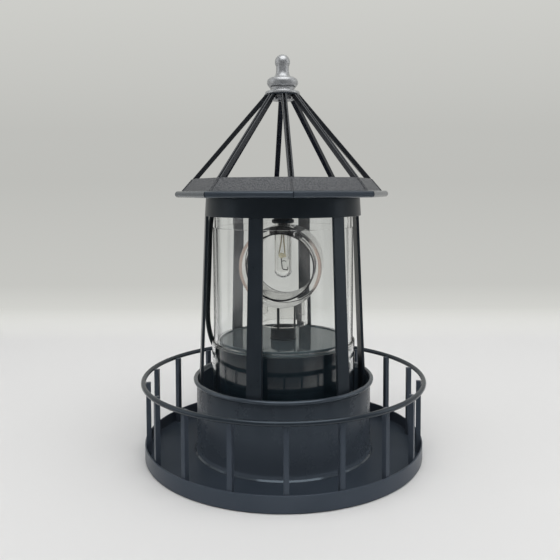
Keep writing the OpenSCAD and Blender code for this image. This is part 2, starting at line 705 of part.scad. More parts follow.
// Deck: the glossy disc on the housing, with a lip, a spigot and three standoffs
plate_move_z = deck_under - move_drop + plate_move_t;
STANDOFFS = [[-14.8, 0], [11, -10.4], [20, 5]];
standoff_d = 5;
lip_w = 1.2;
bush_d = 8;
module standoff_places() for (p = STANDOFFS) translate([p[0], p[1], 0]) children();
module housing_deck() color("#15181a") difference() {
  union() {
    translate([0, 0, deck_under]) cylinder(r = house_r, h = deck_t, $fn = 144);
    translate([0, 0, deck_z - eps]) difference() {
      cylinder(r = house_r, h = lip_h + eps, $fn = 144);
      translate([0, 0, -1]) cylinder(r = house_r - lip_w, h = lip_h + 2, $fn = 144);
    }
    translate([0, 0, deck_under - spigot_h]) difference() {
      cylinder(r = house_in - fit, h = spigot_h + eps, $fn = 144);
      translate([0, 0, -1]) cylinder(r = house_in - fit - lip_w, h = spigot_h + 1, $fn = 144);
    }
    standoff_places() translate([0, 0, plate_move_z])
      cylinder(d = standoff_d, h = deck_under - plate_move_z + eps, $fn = 48);
  }
  translate([0, 0, deck_under - 1]) cylinder(d = bush_d + 2 * snug, h = deck_t + 2, $fn = 64);
  standoff_places() translate([0, 0, plate_move_z - 1])
    cylinder(d = pan_core + 2 * snug, h = 6, $fn = 32);
}
module deck_bush() color("#b5904a") translate([0, 0, deck_under]) difference() {
  cylinder(d = bush_d, h = deck_t, $fn = 64);
  translate([0, 0, -1]) cylinder(d = shaft_d + 2 * run, h = deck_t + 2, $fn = 64);
}

// Gears: involute teeth with a little play, a tooth of each on its own +X
press = 25;
tooth_play = 0.1;
tip_share = 0.8;
root_share = 1.05;
flank_n = 4;
function involute(b, r) = let (t = sqrt(max(pow(r / b, 2) - 1, 0))) t * 180 / PI - atan(t);
module gear_outline(teeth) {
  p = gear_module * teeth / 2;
  b = p * cos(press);
  tip = p + gear_module * tip_share;
  root = p - gear_module * root_share;
  half = 90 / teeth - tooth_play / 2 / p * 180 / PI + involute(b, p);
  low = max(root, b);
  side = [for (k = [0:flank_n])
    let (r = low + (tip - low) * k / flank_n) [r, half - involute(b, r)]];
  flank = root < b ? concat([[root, half]], side) : side;
  n = len(flank);
  polygon([for (i = [0:teeth - 1]) for (k = [0:2 * n - 1])
    let (f = k < n ? flank[k] : flank[2 * n - 1 - k], a = i * 360 / teeth + (k < n ? -1 : 1) * f[1])
    [f[0] * cos(a), f[0] * sin(a)]]);
}
gear_reach = gear_module * (wheel_teeth + pinion_teeth) / 2;
idler_dir = 90;
motor_dir = 0;
IDLER = [gear_reach * cos(idler_dir), gear_reach * sin(idler_dir)];
MOTOR = IDLER + [gear_reach * cos(motor_dir), gear_reach * sin(motor_dir)];
play_z = 0.3;
output_z = deck_under - play_z - wheel_h;
wheel_z = output_z - 2 * play_z - wheel_h;
module output_gear() color("#e9e6dc") translate([0, 0, output_z]) difference() {
  rotate([0, 0, idler_dir]) linear_extrude(wheel_h) gear_outline(wheel_teeth);
  translate([0, 0, -1]) cylinder(d = shaft_d + 2 * snug, h = wheel_h + 2, $fn = 48);
}
// The shaft is thin beside the idler's wheel and thick from the output wheel up
module output_shaft() color("#b9bdc1") {
  translate([0, 0, plate_move_z - plate_move_t + fit])
    cylinder(d = pin_d, h = output_z - plate_move_z + plate_move_t, $fn = 32);
  translate([0, 0, output_z]) cylinder(d = shaft_d, h = stem_z - output_z - 2 * fit, $fn = 48);
}
module idler_gear() color("#e9e6dc") translate([IDLER[0], IDLER[1], 0]) difference() {
  union() {
    translate([0, 0, plate_move_z + fit])
      cylinder(d = pin_d + 2, h = wheel_z - plate_move_z, $fn = 32);
    translate([0, 0, wheel_z]) rotate([0, 0, motor_dir])
      linear_extrude(wheel_h) gear_outline(wheel_teeth);
    translate([0, 0, wheel_z + wheel_h - eps]) rotate([0, 0, idler_dir + 180 - 180 / pinion_teeth])
      linear_extrude(deck_under - play_z - wheel_z - wheel_h) gear_outline(pinion_teeth);
  }
  translate([0, 0, plate_move_z - 1]) cylinder(d = pin_d + 2 * run, h = 20, $fn = 32);
}
module idler_pin() color("#b9bdc1")
  translate([IDLER[0], IDLER[1], plate_move_z - plate_move_t])
    cylinder(d = pin_d, h = deck_under - plate_move_z + plate_move_t, $fn = 32);

// Movement plate with its screws, and the motor that hangs under it
motor_boss_d = 6;
motor_boss_h = 1.5;
motor_screw_r = 5.2;
motor_screw_in = 2;
move_screw_in = 4;
plate_move_x = 1.5;
plate_move_y = 7;
plate_move_r = house_in - plate_move_in - norm([plate_move_x, plate_move_y]);
module motor_screw_places() translate([MOTOR[0], MOTOR[1], 0])
  for (s = [-1, 1])
    translate([s * motor_screw_r * sin(motor_dir), s * motor_screw_r * cos(motor_dir), 0]) children();
module movement_plate() color("#8d9297") difference() {
  translate([plate_move_x, plate_move_y, plate_move_z - plate_move_t])
    cylinder(r = plate_move_r, h = plate_move_t, $fn = 96);
  translate([0, 0, plate_move_z - plate_move_t - 1]) {
    cylinder(d = pin_d + 2 * run, h = plate_move_t + 2, $fn = 32);
    translate([IDLER[0], IDLER[1], 0]) cylinder(d = pin_d + 2 * snug, h = plate_move_t + 2, $fn = 32);
    translate([MOTOR[0], MOTOR[1], 0]) cylinder(d = motor_boss_d + 2 * fit, h = plate_move_t + 2, $fn = 48);
    standoff_places() cylinder(d = pan_core + 2 * snug, h = plate_move_t + 2, $fn = 32);
    motor_screw_places() cylinder(d = pan_core + 2 * snug, h = plate_move_t + 2, $fn = 32);
  }
}
module movement_screws() color("silver") {
  standoff_places() translate([0, 0, plate_move_z - plate_move_t])
    mirror([0, 0, 1]) pan_screw(plate_move_t + move_screw_in);
  motor_screw_places() translate([0, 0, plate_move_z]) pan_screw(plate_move_t + motor_screw_in);
}
module motor() color("#a9adb1") translate([MOTOR[0], MOTOR[1], 0]) difference() {
  union() {
    translate([0, 0, plate_move_z - plate_move_t - motor_l])
      cylinder(d = motor_d, h = motor_l, $fn = 64);
    translate([0, 0, plate_move_z - plate_move_t - eps])
      cylinder(d = motor_boss_d, h = motor_boss_h, $fn = 48);
  }
  translate([0, 0, plate_move_z - plate_move_t - motor_l / 2])
    cylinder(d = motor_shaft_d + 2 * run, h = motor_l, $fn = 32);
  translate([-MOTOR[0], -MOTOR[1], plate_move_z - plate_move_t - 2.4])
    motor_screw_places() cylinder(d = pan_core + 2 * snug, h = 3, $fn = 32);
}
motor_shaft_z = plate_move_z - plate_move_t - motor_l / 2 + fit;
module motor_shaft() color("#b9bdc1") translate([MOTOR[0], MOTOR[1], motor_shaft_z])
  cylinder(d = motor_shaft_d, h = wheel_z + wheel_h + play_z + fit - motor_shaft_z, $fn = 32);
module motor_pinion() color("#b5904a")
  translate([MOTOR[0], MOTOR[1], wheel_z - play_z]) difference() {
  rotate([0, 0, motor_dir + 180 - 180 / pinion_teeth])
    linear_extrude(wheel_h + play_z) gear_outline(pinion_teeth);
  translate([0, 0, -1]) cylinder(d = motor_shaft_d + 2 * snug, h = wheel_h + 3, $fn = 32);
}

// Battery, its contacts and its door
battery_z = floor_t + door_t + 0.3 + battery_d / 2;
battery_x0 = -bay_l / 2 + contact_t + spring_l;
module battery() color("#3c6e4a") translate([battery_x0, battery_y, battery_z]) rotate([0, 90, 0]) union() {
  cylinder(d = battery_d, h = battery_l - 1, $fn = 64);
  cylinder(d = 5.5, h = battery_l, $fn = 32);
}
spring_wire = 0.5;
spring_turns = 3;
spring_seg = 12;
function spring_ring(i) =
  let (
    n = spring_turns * spring_seg,
    a = 360 * i / spring_seg,
    r = 4.2 - 1.6 * i / n,
    x = -bay_l / 2 + contact_t + spring_wire / 2 + (spring_l - spring_wire) * i / n
  )
  [for (k = [0:5]) let (q = 60 * k, s = spring_wire / 2) [
    x - s * sin(q), battery_y + (r + s * cos(q)) * cos(a), battery_z + (r + s * cos(q)) * sin(a)]];
contact_w = 9;
module contact_blade(x)
  translate([x, battery_y - contact_w / 2, battery_z - contact_w / 2])
    cube([contact_t, contact_w, contact_w]);
module spring_contact() color("silver") {
  contact_blade(-bay_l / 2);
  ring_tube([for (i = [0:spring_turns * spring_seg]) spring_ring(i)], 6);
}
module button_contact() color("silver") contact_blade(bay_l / 2 - contact_t);
module battery_door() color("#1f2326") translate([0, 0, floor_t]) difference() {
  linear_extrude(door_t) door_outline(0);
  translate([0, battery_y + ear_y, 0]) flat_screw_hole(door_t + 1);
}
module door_screw() color("silver")
  translate([0, battery_y + ear_y, floor_t]) flat_screw(house_floor + 2.4);

// Circuit board with its parts, and its screws. A chip is [x, y, its size], a can [x, y, d, h]
CHIPS = [[-14, -12, [6, 5, 1.8]], [2, -16, [4, 5, 1.4]]];
CANS = [[14, -8, 6, 7], [-8, 8, 7, 4]];
module circuit_board() color("#2f6b45") union() {
  difference() {
    translate([0, 0, board_z]) cylinder(r = board_r, h = board_t, $fn = 96);
    pillar_places() translate([0, 0, board_z - 1])
      cylinder(d = pan_core + 2 * fit, h = board_t + 2, $fn = 32);
  }
  for (c = CHIPS) translate([c[0], c[1], board_z + board_t - eps]) cube(c[2]);
  for (c = CANS) translate([c[0], c[1], board_z + board_t - eps]) cylinder(d = c[2], h = c[3], $fn = 32);
}
module board_screws() color("silver")
  pillar_places() translate([0, 0, board_z + board_t]) pan_screw(board_t + board_screw_in);

// Switch under the housing's floor slot
switch_l = 9;
switch_w = 4.4;
switch_h = 4.4;
shoe_l = 4;
shoe_w = 2.8;
shoe_h = 1;
nub_out = 1.2;
module switch_body() color("#2a2d30") difference() {
  translate([switch_x - switch_l / 2, switch_y - switch_w / 2, inner_z])
    cube([switch_l, switch_w, switch_h]);
  translate([switch_x - (shoe_l + switch_travel) / 2 - fit, switch_y - shoe_w / 2 - fit, inner_z - 1])
    cube([shoe_l + switch_travel + 2 * fit, shoe_w + 2 * fit, 1 + shoe_h + 2 * fit]);
}
module switch_slider() color("#d8d8d4") translate([switch_x - switch_travel / 2, switch_y, 0]) union() {
  translate([-shoe_l / 2, -shoe_w / 2, inner_z + fit]) cube([shoe_l, shoe_w, shoe_h]);
  translate([-nub / 2, -nub / 2, floor_t - nub_out]) cube([nub, nub, nub_out + house_floor + fit + eps]);
}

// Roof: brim and sloping skirt in one octagon, with a slot for a rib at each corner
oct = cos(180 / RIB_N);
brim_r = roof_w / 2 / oct;
slope_r = brim_r - brim_ledge / oct;
slope = atan2(roof_h, slope_r - cap_d / 2);
skirt_run = skirt_t / sin(slope);
rib_run = rib_d / sin(slope);
skirt_top_r = slope_r - skirt_h / tan(slope);
roof_bore = 16;
notch = 0.6;
rib_seat_r = slope_r - rib_run - 0.5;
module rib_bar(g) rotate([90, 0, 0]) linear_extrude(rib_w + 2 * g, center = true) polygon([
  [slope_r, brim_z], [cap_d / 2, cap_z], [cap_d / 2 - rib_run, cap_z], [slope_r - rib_run, brim_z]
]);
module roof_skirt() color("#3a3d42") difference() {
  rotate([0, 0, rib_turn]) rotate_extrude($fn = RIB_N) polygon(concat(
    [[roof_bore / 2, roof_z]],
    arc(brim_r - brim_t / 2, roof_z + brim_t / 2, brim_t / 2, -90, 90, 8),
    [[slope_r, brim_z], [skirt_top_r, skirt_z], [skirt_top_r - skirt_run, skirt_z],
     [slope_r - skirt_run, brim_z], [rib_seat_r, brim_z], [rib_seat_r, roof_z + roof_floor_t],
     [roof_bore / 2, roof_z + roof_floor_t]]
  ));
  for (i = [0:RIB_N - 1]) at_turn(rib_turn + i * 360 / RIB_N) {
    rotate([90, 0, 0]) linear_extrude(rib_w + 2 * fit, center = true) polygon([
      [slope_r + 1, brim_z], [skirt_top_r + 1, skirt_z + 1], [skirt_top_r - rib_run, skirt_z + 1],
      [slope_r - rib_run - 0.2, brim_z]
    ]);
    translate([brim_r - notch, -notch / 2, roof_z - 1]) cube([2, notch, brim_t + 2]);
  }
  roof_screw_places() translate([0, 0, roof_z - 1])
    cylinder(d = pan_core + 2 * fit, h = roof_floor_t + 2, $fn = 32);
}
module roof_rib(i) color("#23272b") at_turn(rib_turn + i * 360 / RIB_N) difference() {
  rib_bar(0);
  rotate([90, 0, 0]) linear_extrude(groove_w, center = true) polygon([
    [slope_r + 1, brim_z - 1], [slope_r - groove_d / sin(slope) + 1 / tan(slope), brim_z - 1],
    [cap_d / 2 - groove_d / sin(slope) - 1 / tan(slope), cap_z + 1], [cap_d / 2 + 1, cap_z + 1]
  ]);
}
module roof_screws() color("silver") roof_screw_places()
  translate([0, 0, roof_z + roof_floor_t]) pan_screw(roof_floor_t + flange_t + roof_boss_h - 0.6);

// Panel tray and solar panel, just inside the ribs
tray_z = roof_z + roof_floor_t + tray_rise;
lip_top = tray_z + tray_t + panel_t - 1;
tray_r = slope_r - (lip_top - brim_z) / tan(slope) - rib_run - 4 * fit;
tray_foot_r = roof_screw_r - 5;
tray_foot_t = 2;
tray_bore = 6;
module octagon(r, z, h) translate([0, 0, z]) rotate([0, 0, rib_turn]) cylinder(r = r, h = h, $fn = RIB_N);
module panel_tray() color("#202326") difference() {
  union() {
    octagon(tray_r, tray_z, lip_top - tray_z);
    translate([0, 0, tray_z - tray_rise]) difference() {
      cylinder(r = tray_foot_r, h = tray_rise + eps, $fn = 96);
      translate([0, 0, -1]) cylinder(r = tray_foot_r - tray_foot_t, h = tray_rise + 1, $fn = 96);
    }
  }
  octagon(tray_r - tray_lip, tray_z + tray_t, panel_t + 1);
  translate([0, 0, tray_z - 1]) cylinder(d = tray_bore, h = tray_t + 2, $fn = 48);
}
module solar_panel() color("#1c2742") octagon(tray_r - tray_lip - 2 * fit, tray_z + tray_t, panel_t);

// Cap over the ribs, the finial and its screw
stud_d = 3;
finial_bore = 7;
stud_head_d = 5.2;
stud_head_h = 1.6;
module roof_cap() color("#23272b") difference() {
  union() {
    octagon(cap_d / 2, cap_z, cap_t);
    translate([0, 0, cap_z - boss_h]) cylinder(d = boss_d, h = boss_h + eps, $fn = 64);
  }
  translate([0, 0, cap_z - boss_h - 1]) cylinder(d = stud_d + 2 * fit, h = boss_h + cap_t + 2, $fn = 32);
  translate([0, 0, cap_z - boss_h - 1]) cylinder(d = stud_head_d + 2 * fit, h = stud_head_h + 1, $fn = 32);
}
module finial_screw() color("silver") {
  translate([0, 0, cap_z - boss_h]) cylinder(d = stud_head_d, h = stud_head_h, $fn = 32);
  translate([0, 0, cap_z - boss_h]) cylinder(d = stud_d, h = boss_h + cap_t + finial_bore - 1, $fn = 32);
}
ff_h = 1.7;
fn_h = 2;
fb_h = 5.2;
module finial() color("#c9ccd0") difference() {
  rotate_extrude($fn = 96) polygon(concat(
    [[0, finial_z], [finial_foot_d / 2 - 0.3, finial_z], [finial_foot_d / 2, finial_z + 0.3]],
    arc(finial_foot_d / 2 - 0.8, finial_z + ff_h - 0.8, 0.8, 0, 90, 4),
    arc(finial_neck_d / 2 + 1.2, finial_z + ff_h + 1.2, 1.2, -90, -180, 5),
    [[finial_neck_d / 2, finial_z + ff_h + fn_h]],
    arc(finial_bead_d / 2 - fb_h / 2, finial_z + ff_h + fn_h + fb_h / 2, fb_h / 2, -80, 80, 12),
    [[finial_stem_d / 2 + 0.7, finial_z + ff_h + fn_h + fb_h + 0.2],
     [finial_stem_d / 2, finial_z + ff_h + fn_h + fb_h + 1]],
    arc(0, finial_z + finial_h - finial_ball_d / 2, finial_ball_d / 2,
      -acos(finial_stem_d / finial_ball_d), 90, 14)
  ));
  translate([0, 0, finial_z - 1]) cylinder(d = stud_d + 2 * snug, h = finial_bore + 1, $fn = 32);
}

gallery_tray();
handrail();
balusters();
drum();
drum_screws();
collar();
clear_tube();
lamp_plate();
bulb_socket();
bulb_glass();
bulb_leads();
housing_cup();
housing_deck();
housing_screws();
battery();
spring_contact();
button_contact();
battery_door();
door_screw();
circuit_board();
board_screws();
switch_body();
switch_slider();
movement_plate();
movement_screws();
motor();
motor_shaft();
motor_pinion();
idler_pin();
idler_gear();
output_shaft();
output_gear();
deck_bush();
coupling_knob();
lens();
solar_cable();
roof_skirt();
roof_screws();
panel_tray();
solar_panel();
roof_cap();
finial();
finial_screw();
for (i = [0:post_n - 1]) post(i);
for (i = [0:RIB_N - 1]) roof_rib(i);
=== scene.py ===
# %% [markdown]
# # A garden lighthouse lantern
# The lantern stands on a round gallery with a railing. Six leaning posts carry a collar and a roof of eight
# ribs, and a clear lens turns round a small bulb behind a clear tube. The solid model already holds every size.
# This lesson dresses it: each visible piece is made again with rounded edges, and each finish is a small
# network of shader nodes. The first step loads the solid model.
# %% Load the solid model
import math

import bmesh
import bpy
from mathutils import Matrix, Vector


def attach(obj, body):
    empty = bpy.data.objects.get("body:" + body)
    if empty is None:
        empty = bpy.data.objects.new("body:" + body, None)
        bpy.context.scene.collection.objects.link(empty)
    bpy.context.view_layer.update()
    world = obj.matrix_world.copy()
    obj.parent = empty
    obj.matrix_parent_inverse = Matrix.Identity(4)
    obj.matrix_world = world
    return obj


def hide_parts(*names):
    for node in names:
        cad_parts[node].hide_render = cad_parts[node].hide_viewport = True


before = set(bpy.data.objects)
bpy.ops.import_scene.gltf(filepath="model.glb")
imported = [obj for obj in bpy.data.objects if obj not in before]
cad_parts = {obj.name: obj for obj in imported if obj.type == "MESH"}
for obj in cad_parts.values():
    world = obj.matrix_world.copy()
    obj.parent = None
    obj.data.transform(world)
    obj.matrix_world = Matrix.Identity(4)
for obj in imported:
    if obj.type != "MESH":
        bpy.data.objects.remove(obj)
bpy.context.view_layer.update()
scene = bpy.context.scene
scene.view_settings.view_transform = "Standard"

# %% [markdown]
# ## Sizes
# Blender works in metres and the lantern's sizes are read in millimetres, so each length is written in
# millimetres and passes through one factor when its mesh is made. A turn is an angle seen from above,
# measured from the front towards the right, in degrees.
# %% Sizes that several pieces share, in millimetres
MM = 0.001
FLOOR = 2.0
LEDGE = 5.0
DRUM_TOP = 40.6
COLLAR_LOW = 125.6
ROOF_LOW = 135.2
BRIM_TOP = 138.5
SKIRT_TOP = 145.0
CAP_LOW = 188.4
FINIAL_LOW = 189.0
RAIL_R = 73.75
RAIL_TOP = 41.0
RAIL_BAR = 2.5
TUBE_TOP = 126.6
SHOULDER = 60.0
DECK_LOW = 57.6
DECK_TOP = 60.1
POST_TURN = -18.5
RIB_TURN = 4.8
BAR_TURN = 0.9
LENS_TURN = -7.0
LENS_MIDDLE = 99.4


def at(radius, turn, height):
    """A point in metres from a radius, a turn and a height."""
    a = math.radians(turn - 90)
    return Vector((radius * math.cos(a), radius * math.sin(a), height)) * MM


print("front of the rail:", tuple(round(v, 4) for v in at(RAIL_R, 0, RAIL_TOP)))

# %% [markdown]
# ## Camera
# The photograph's camera was worked out from the ellipses of the rail, tray, drum and deck. It stands a little
# above the middle of the lantern and looks slightly down. The picture is cut below the optical axis, and
# a small vertical shift does the same here. The camera comes first, because every other choice is judged
# through it.
# %% Camera
PICTURE = 560
FOCAL_PX = 645.474
AXIS_ROW = 224
SENSOR = 36
CAMERA_PLACE = (0, -0.342883, 0.138375)
camera_data = bpy.data.cameras.new("photo_camera")
camera_data.sensor_width = SENSOR
camera_data.lens = FOCAL_PX * SENSOR / PICTURE
camera_data.shift_y = (AXIS_ROW - PICTURE / 2) / PICTURE
camera_data.clip_start = 0.01
camera = bpy.data.objects.new("photo_camera", camera_data)
tilt, yaw, roll = 0.05087, -0.00454, 0.00329
camera.matrix_world = (
    Matrix.Translation(CAMERA_PLACE)
    @ Matrix.Rotation(-yaw, 4, "Z")
    @ Matrix.Rotation(math.pi / 2 - tilt, 4, "X")
    @ Matrix.Rotation(-roll, 4, "Z")
)
scene.collection.objects.link(camera)
scene.camera = camera
print("lens mm:", round(camera_data.lens, 2), "shift:", round(camera_data.shift_y, 3))

# %% [markdown]
# ## Shader maths
# A finish is easier to read as a formula than as a pile of nodes. `Number` wraps one socket and turns
# + - * into Math nodes. `Nodes` is any tree: its `node` method adds a node, with its settings first and then
# the values or links of its sockets. `Finish` is the tree of one material. Every pattern reads Object
# coordinates, so that it stays on the piece from any side.
# %% Small classes for nodes and finishes
class Number:
    """One number socket. Arithmetic on it adds Math nodes."""

    def __init__(self, nodes, socket):
        self.nodes, self.socket = nodes, socket

    def _math(self, operation, first, second):
        made = self.nodes.node("ShaderNodeMath", {"operation": operation}, {0: first, 1: second})
        return Number(self.nodes, made.outputs[0])

    def __add__(self, other):
        return self._math("ADD", self, other)

    def __mul__(self, other):
        return self._math("MULTIPLY", self, other)

    def __rsub__(self, other):
        return self._math("SUBTRACT", other, self)

    __radd__ = __add__
    __rmul__ = __mul__

    def larger(self, other):
        return self._math("MAXIMUM", self, other)

    def clipped(self, low, high):
        """This number spread from low..high to 0..1, cut off at both ends."""
        made = self.nodes.node(
            "ShaderNodeMapRange", {"clamp": True}, {"Value": self, "From Min": low, "From Max": high})
        return Number(self.nodes, made.outputs[0])


class Nodes:
    """A node tree. A colour is given as red, green and blue."""

    def __init__(self, tree, place=None):
        self.tree = tree
        if place:
            self.point = self.node("ShaderNodeTexCoord").outputs[place]

    def link(self, value, socket):
        if isinstance(value, Number):
            value = value.socket
        if isinstance(value, bpy.types.NodeSocket):
            self.tree.links.new(value, socket)
        else:
            socket.default_value = (*value, 1) if socket.type == "RGBA" else value

    def node(self, kind, settings=None, sockets=None):
        made = self.tree.nodes.new(kind)
        for key, value in (settings or {}).items():
            setattr(made, key, value)
        for key, value in (sockets or {}).items():
            self.link(value, made.inputs[key])
        return made

    def blend(self, factor, first, second):
        """A colour between two colours."""
        made = self.node("ShaderNodeMix", {"data_type": "RGBA"}, {"Factor": factor, 6: first, 7: second})
        return made.outputs[2]

    def mixed(self, factor, first, second):
        """A shader between two shaders."""
        made = self.node("ShaderNodeMixShader", None, {0: factor, 1: first.outputs[0], 2: second.outputs[0]})
        return made.outputs[0]

    def along(self, axis):
        """The place along X, Y or Z."""
        return Number(self, self.node("ShaderNodeSeparateXYZ", None, {0: self.point}).outputs[axis])

    def ray(self, fact):
        """What Light Path says about the ray that sees the surface."""
        return Number(self, self.node("ShaderNodeLightPath").outputs[fact])


class Finish(Nodes):
    """A material made of nodes."""

    def __init__(self, name, **constants):
        self.material = bpy.data.materials.new(name)
        self.material.use_nodes = True
        super().__init__(self.material.node_tree, "Object")
        self.surface = self.tree.nodes["Principled BSDF"]
        for socket, value in constants.items():
            self.feed(socket.replace("_", " "), value)

    def feed(self, socket, value):
        self.link(value, self.surface.inputs[socket])

    def show(self, shader):
        """Shows this shader and not the plain surface."""
        self.link(shader, self.tree.nodes["Material Output"].inputs["Surface"])

    def noise(self, scale, detail=2.0, stretch=(1, 1, 1)):
        """Cloudy noise from 0 to 1. scale is in clouds a metre."""
        place = self.node("ShaderNodeMapping", None, {"Vector": self.point, "Scale": stretch}).outputs[0]
        made = self.node("ShaderNodeTexNoise", None, {"Vector": place, "Scale": scale, "Detail": detail})
        return Number(self, made.outputs[0])

    def relief(self, height, depth, strength=1.0):
        """A bump of that depth in metres."""
        made = self.node("ShaderNodeBump", None, {"Height": height, "Distance": depth, "Strength": strength})
        self.feed("Normal", made.outputs[0])


def times(colour, factor):
    return tuple(c * factor for c in colour)


print("finish classes are ready")

# %% [markdown]
# ## Painted metal
# The tray, drum, posts, collar and roof are sheet steel under black stoving paint. It is satin rather than
# matt, a little blue in the highlights, and its surface has the faint orange peel of sprayed paint. Fine dust
# makes some patches rougher. Some copies of the paint are painted lighter as painted light: the gallery, the
# inside of the drum, and the drum towards its foot, where bounce light from the floor falls. Rolled edges are
# rubbed smoother than flat sheet, so the rail, beads and ribs get glossier versions that catch thin lines of light.
# %% Black paint on metal
COOL = (0.70, 0.86, 1.0)


def black_paint(name, dark, light, rough=0.29, shine=0.24, tint=COOL, painted_foot_light=None):
    paint = Finish(name, Specular_IOR_Level=shine, Specular_Tint=tint)
    cloud = paint.noise(45, 3)
    colour = paint.blend(cloud.clipped(0.3, 0.75), dark, light)
    # Painted bounce light: the colour turns lighter and bluer towards the foot, from 34 mm down to 6 mm.
    if painted_foot_light:
        colour = paint.blend(paint.along("Z").clipped(0.034, 0.006), colour, painted_foot_light)
    paint.feed("Base Color", colour)
    paint.feed("Roughness", cloud * 0.08 + paint.noise(900, 2) * 0.02 + (rough - 0.05))
    paint.relief(paint.noise(420, 2), 0.00004, 0.1)
    return paint.material


satin_black = black_paint("satin_black_paint", (0.019, 0.024, 0.030), (0.027, 0.033, 0.040))
# The gallery's copy of the paint has a lighter, bluer base: painted light for the light that reaches the tray rim
# and balusters low down.
gallery_black_painted_light = black_paint("gallery_black_paint", (0.048, 0.059, 0.077), (0.060, 0.072, 0.092), 0.30)
# The drum's paint is painted lighter near its foot, as painted bounce light from the pale floor.
drum_black = black_paint(
    "drum_black_paint", (0.034, 0.042, 0.053), (0.044, 0.053, 0.066), 0.27, 0.20, painted_foot_light=(0.074, 0.090, 0.112))
floor_black = black_paint("tray_floor_paint", (0.031, 0.040, 0.053), (0.041, 0.051, 0.066), 0.42, 0.06)
# The inside of the drum is painted much lighter: painted light on a wall that the brim shades.
inside_black_painted_light = black_paint("drum_inside_paint", (0.096, 0.130, 0.170), (0.112, 0.150, 0.195), 0.36, 0.20)
bead_black = black_paint("rolled_bead_paint", (0.034, 0.041, 0.051), (0.042, 0.050, 0.062), 0.14, 0.64)
edge_black = black_paint("glossier_edge_paint", (0.016, 0.020, 0.026), (0.023, 0.028, 0.035), 0.20, 0.48)
rib_black = black_paint(
    "rib_black_paint", (0.017, 0.019, 0.022), (0.024, 0.026, 0.029), 0.24, 0.42, (0.92, 0.95, 1.0))
print("made eight black paints, from", satin_black.name, "to", rib_black.name)

# %% [markdown]
# ## Roof sheet
# The sloping skirt of the roof has a grain like fine leather. Its colour is painted much lighter than the plain
# paint, a painted sheen for the light that the slope catches, and the creases between the grains are painted darker
# as painted shade. Small Voronoi cells with soft edges give that grain, at about two thirds of a millimetre.
# %% Grained sheet
def grained_paint():
    paint = Finish("grained_roof_paint", Specular_IOR_Level=0.4)
    cells = paint.node(
        "ShaderNodeTexVoronoi", {"feature": "SMOOTH_F1"},
        {"Vector": paint.point, "Scale": 1550.0, "Smoothness": 0.4},
    )
    pebble = Number(paint, cells.outputs["Distance"]).clipped(0.05, 0.75)
    # The grain is real. Its colour contrast is painted: painted sheen on the cell tops, painted shade in the creases
    # between them.
    grain_and_crease_shade = pebble * 0.75 + paint.noise(60, 3) * 0.25
    paint.feed("Base Color", paint.blend(grain_and_crease_shade, (0.158, 0.162, 0.170), (0.060, 0.063, 0.068)))
    paint.feed("Roughness", pebble * 0.16 + 0.46)
    paint.relief(1 - pebble, 0.00014, 0.8)
    return paint.material


grained_black = grained_paint()
print("made", grained_black.name)

# %% [markdown]
# ## Plastics and rubber
# The housing, socket and lamp plate are moulded black plastic. The deck on top of the housing is polished, so
# the lens and the posts are mirrored in it. The cable has a dull rubber jacket.
# %% Black plastics
def black_plastic(name, base, rough, grain=0.00002, scale=1500, shine=0.35, cool=(1.14, 1.28)):
    plastic = Finish(name, Specular_IOR_Level=shine, Specular_Tint=(0.72, 0.93, 1.0))
    cloud = plastic.noise(70, 2)
    dark = (base, base * cool[0], base * cool[1])
    plastic.feed("Base Color", plastic.blend(cloud, dark, times(dark, 1.6)))
    plastic.feed("Roughness", cloud * 0.08 + (rough - 0.04))
    plastic.relief(plastic.noise(scale, 3), grain, 0.4)
    return plastic.material


satin_plastic = black_plastic("satin_black_plastic", 0.010, 0.28, shine=0.04, cool=(1.6, 2.1))
dull_plastic = black_plastic("dull_black_plastic", 0.012, 0.5, 0.00003, 1800)
deck_gloss = black_plastic("polished_black_deck", 0.043, 0.06, 0.000004, 260, 0.85, (1.33, 1.50))
cable_rubber = black_plastic("cable_rubber", 0.012, 0.42, 0.00003, 1400)
print("made four black plastics")

# %% [markdown]
# ## Clear plastic and glass
# The tube and the lens are clear acrylic, the bulb is thin glass. Real refraction gives the bright and dark
# lines along their edges. Cycles would give clear things a full dark shadow, so for shadow rays alone a
# see-through shader takes over, which is what a thin clear wall really does to soft light.
# %% Clear finishes
def seen_through(clear, shade):
    """The material of a clear finish through which shadow rays pass, with a shade."""
    through = clear.node("ShaderNodeBsdfTransparent", None, {"Color": shade})
    clear.show(clear.mixed(clear.ray("Is Shadow Ray"), clear.surface, through))
    return clear.material


def clear_finish(name, tint, ior, shade):
    clear = Finish(name, Transmission_Weight=1.0, Roughness=0.0, IOR=ior, Specular_IOR_Level=0.2)
    clear.feed("Base Color", clear.blend(clear.noise(35, 2), tint, times(tint, 0.985)))
    clear.relief(clear.noise(90, 1), 0.00002, 0.25)
    return seen_through(clear, shade)


clear_tube_plastic = clear_finish("clear_tube_plastic", (0.975, 0.985, 0.984), 1.49, (0.93, 0.94, 0.94))
clear_lens_plastic = clear_finish("clear_lens_plastic", (0.97, 0.965, 0.955), 1.49, (0.9, 0.9, 0.9))
bulb_glass = clear_finish("bulb_glass", (0.985, 0.985, 0.975), 1.46, (0.95, 0.95, 0.95))


def lens_finish(name, low, side, high, rough, through_it=1.0):
    """Clear plastic of the lens with painted refraction effects: one tint below, one towards its two sides and one
    above.
    """
    clear = Finish(name, Transmission_Weight=through_it, IOR=1.49, Specular_IOR_Level=0.25)
    across = clear.along("X")
    sides = (across * across).clipped(0.0125 ** 2, 0.0165 ** 2)
    above = clear.along("Z").clipped(0.1085, 0.1125)
    clear.feed("Base Color", clear.blend(sides, clear.blend(above, low, high), side))
    clear.feed("Roughness", clear.noise(260, 3) * 0.06 + rough)
    clear.relief(clear.noise(700, 3), 0.00003, 0.4)
    return seen_through(clear, (0.9, 0.9, 0.9))


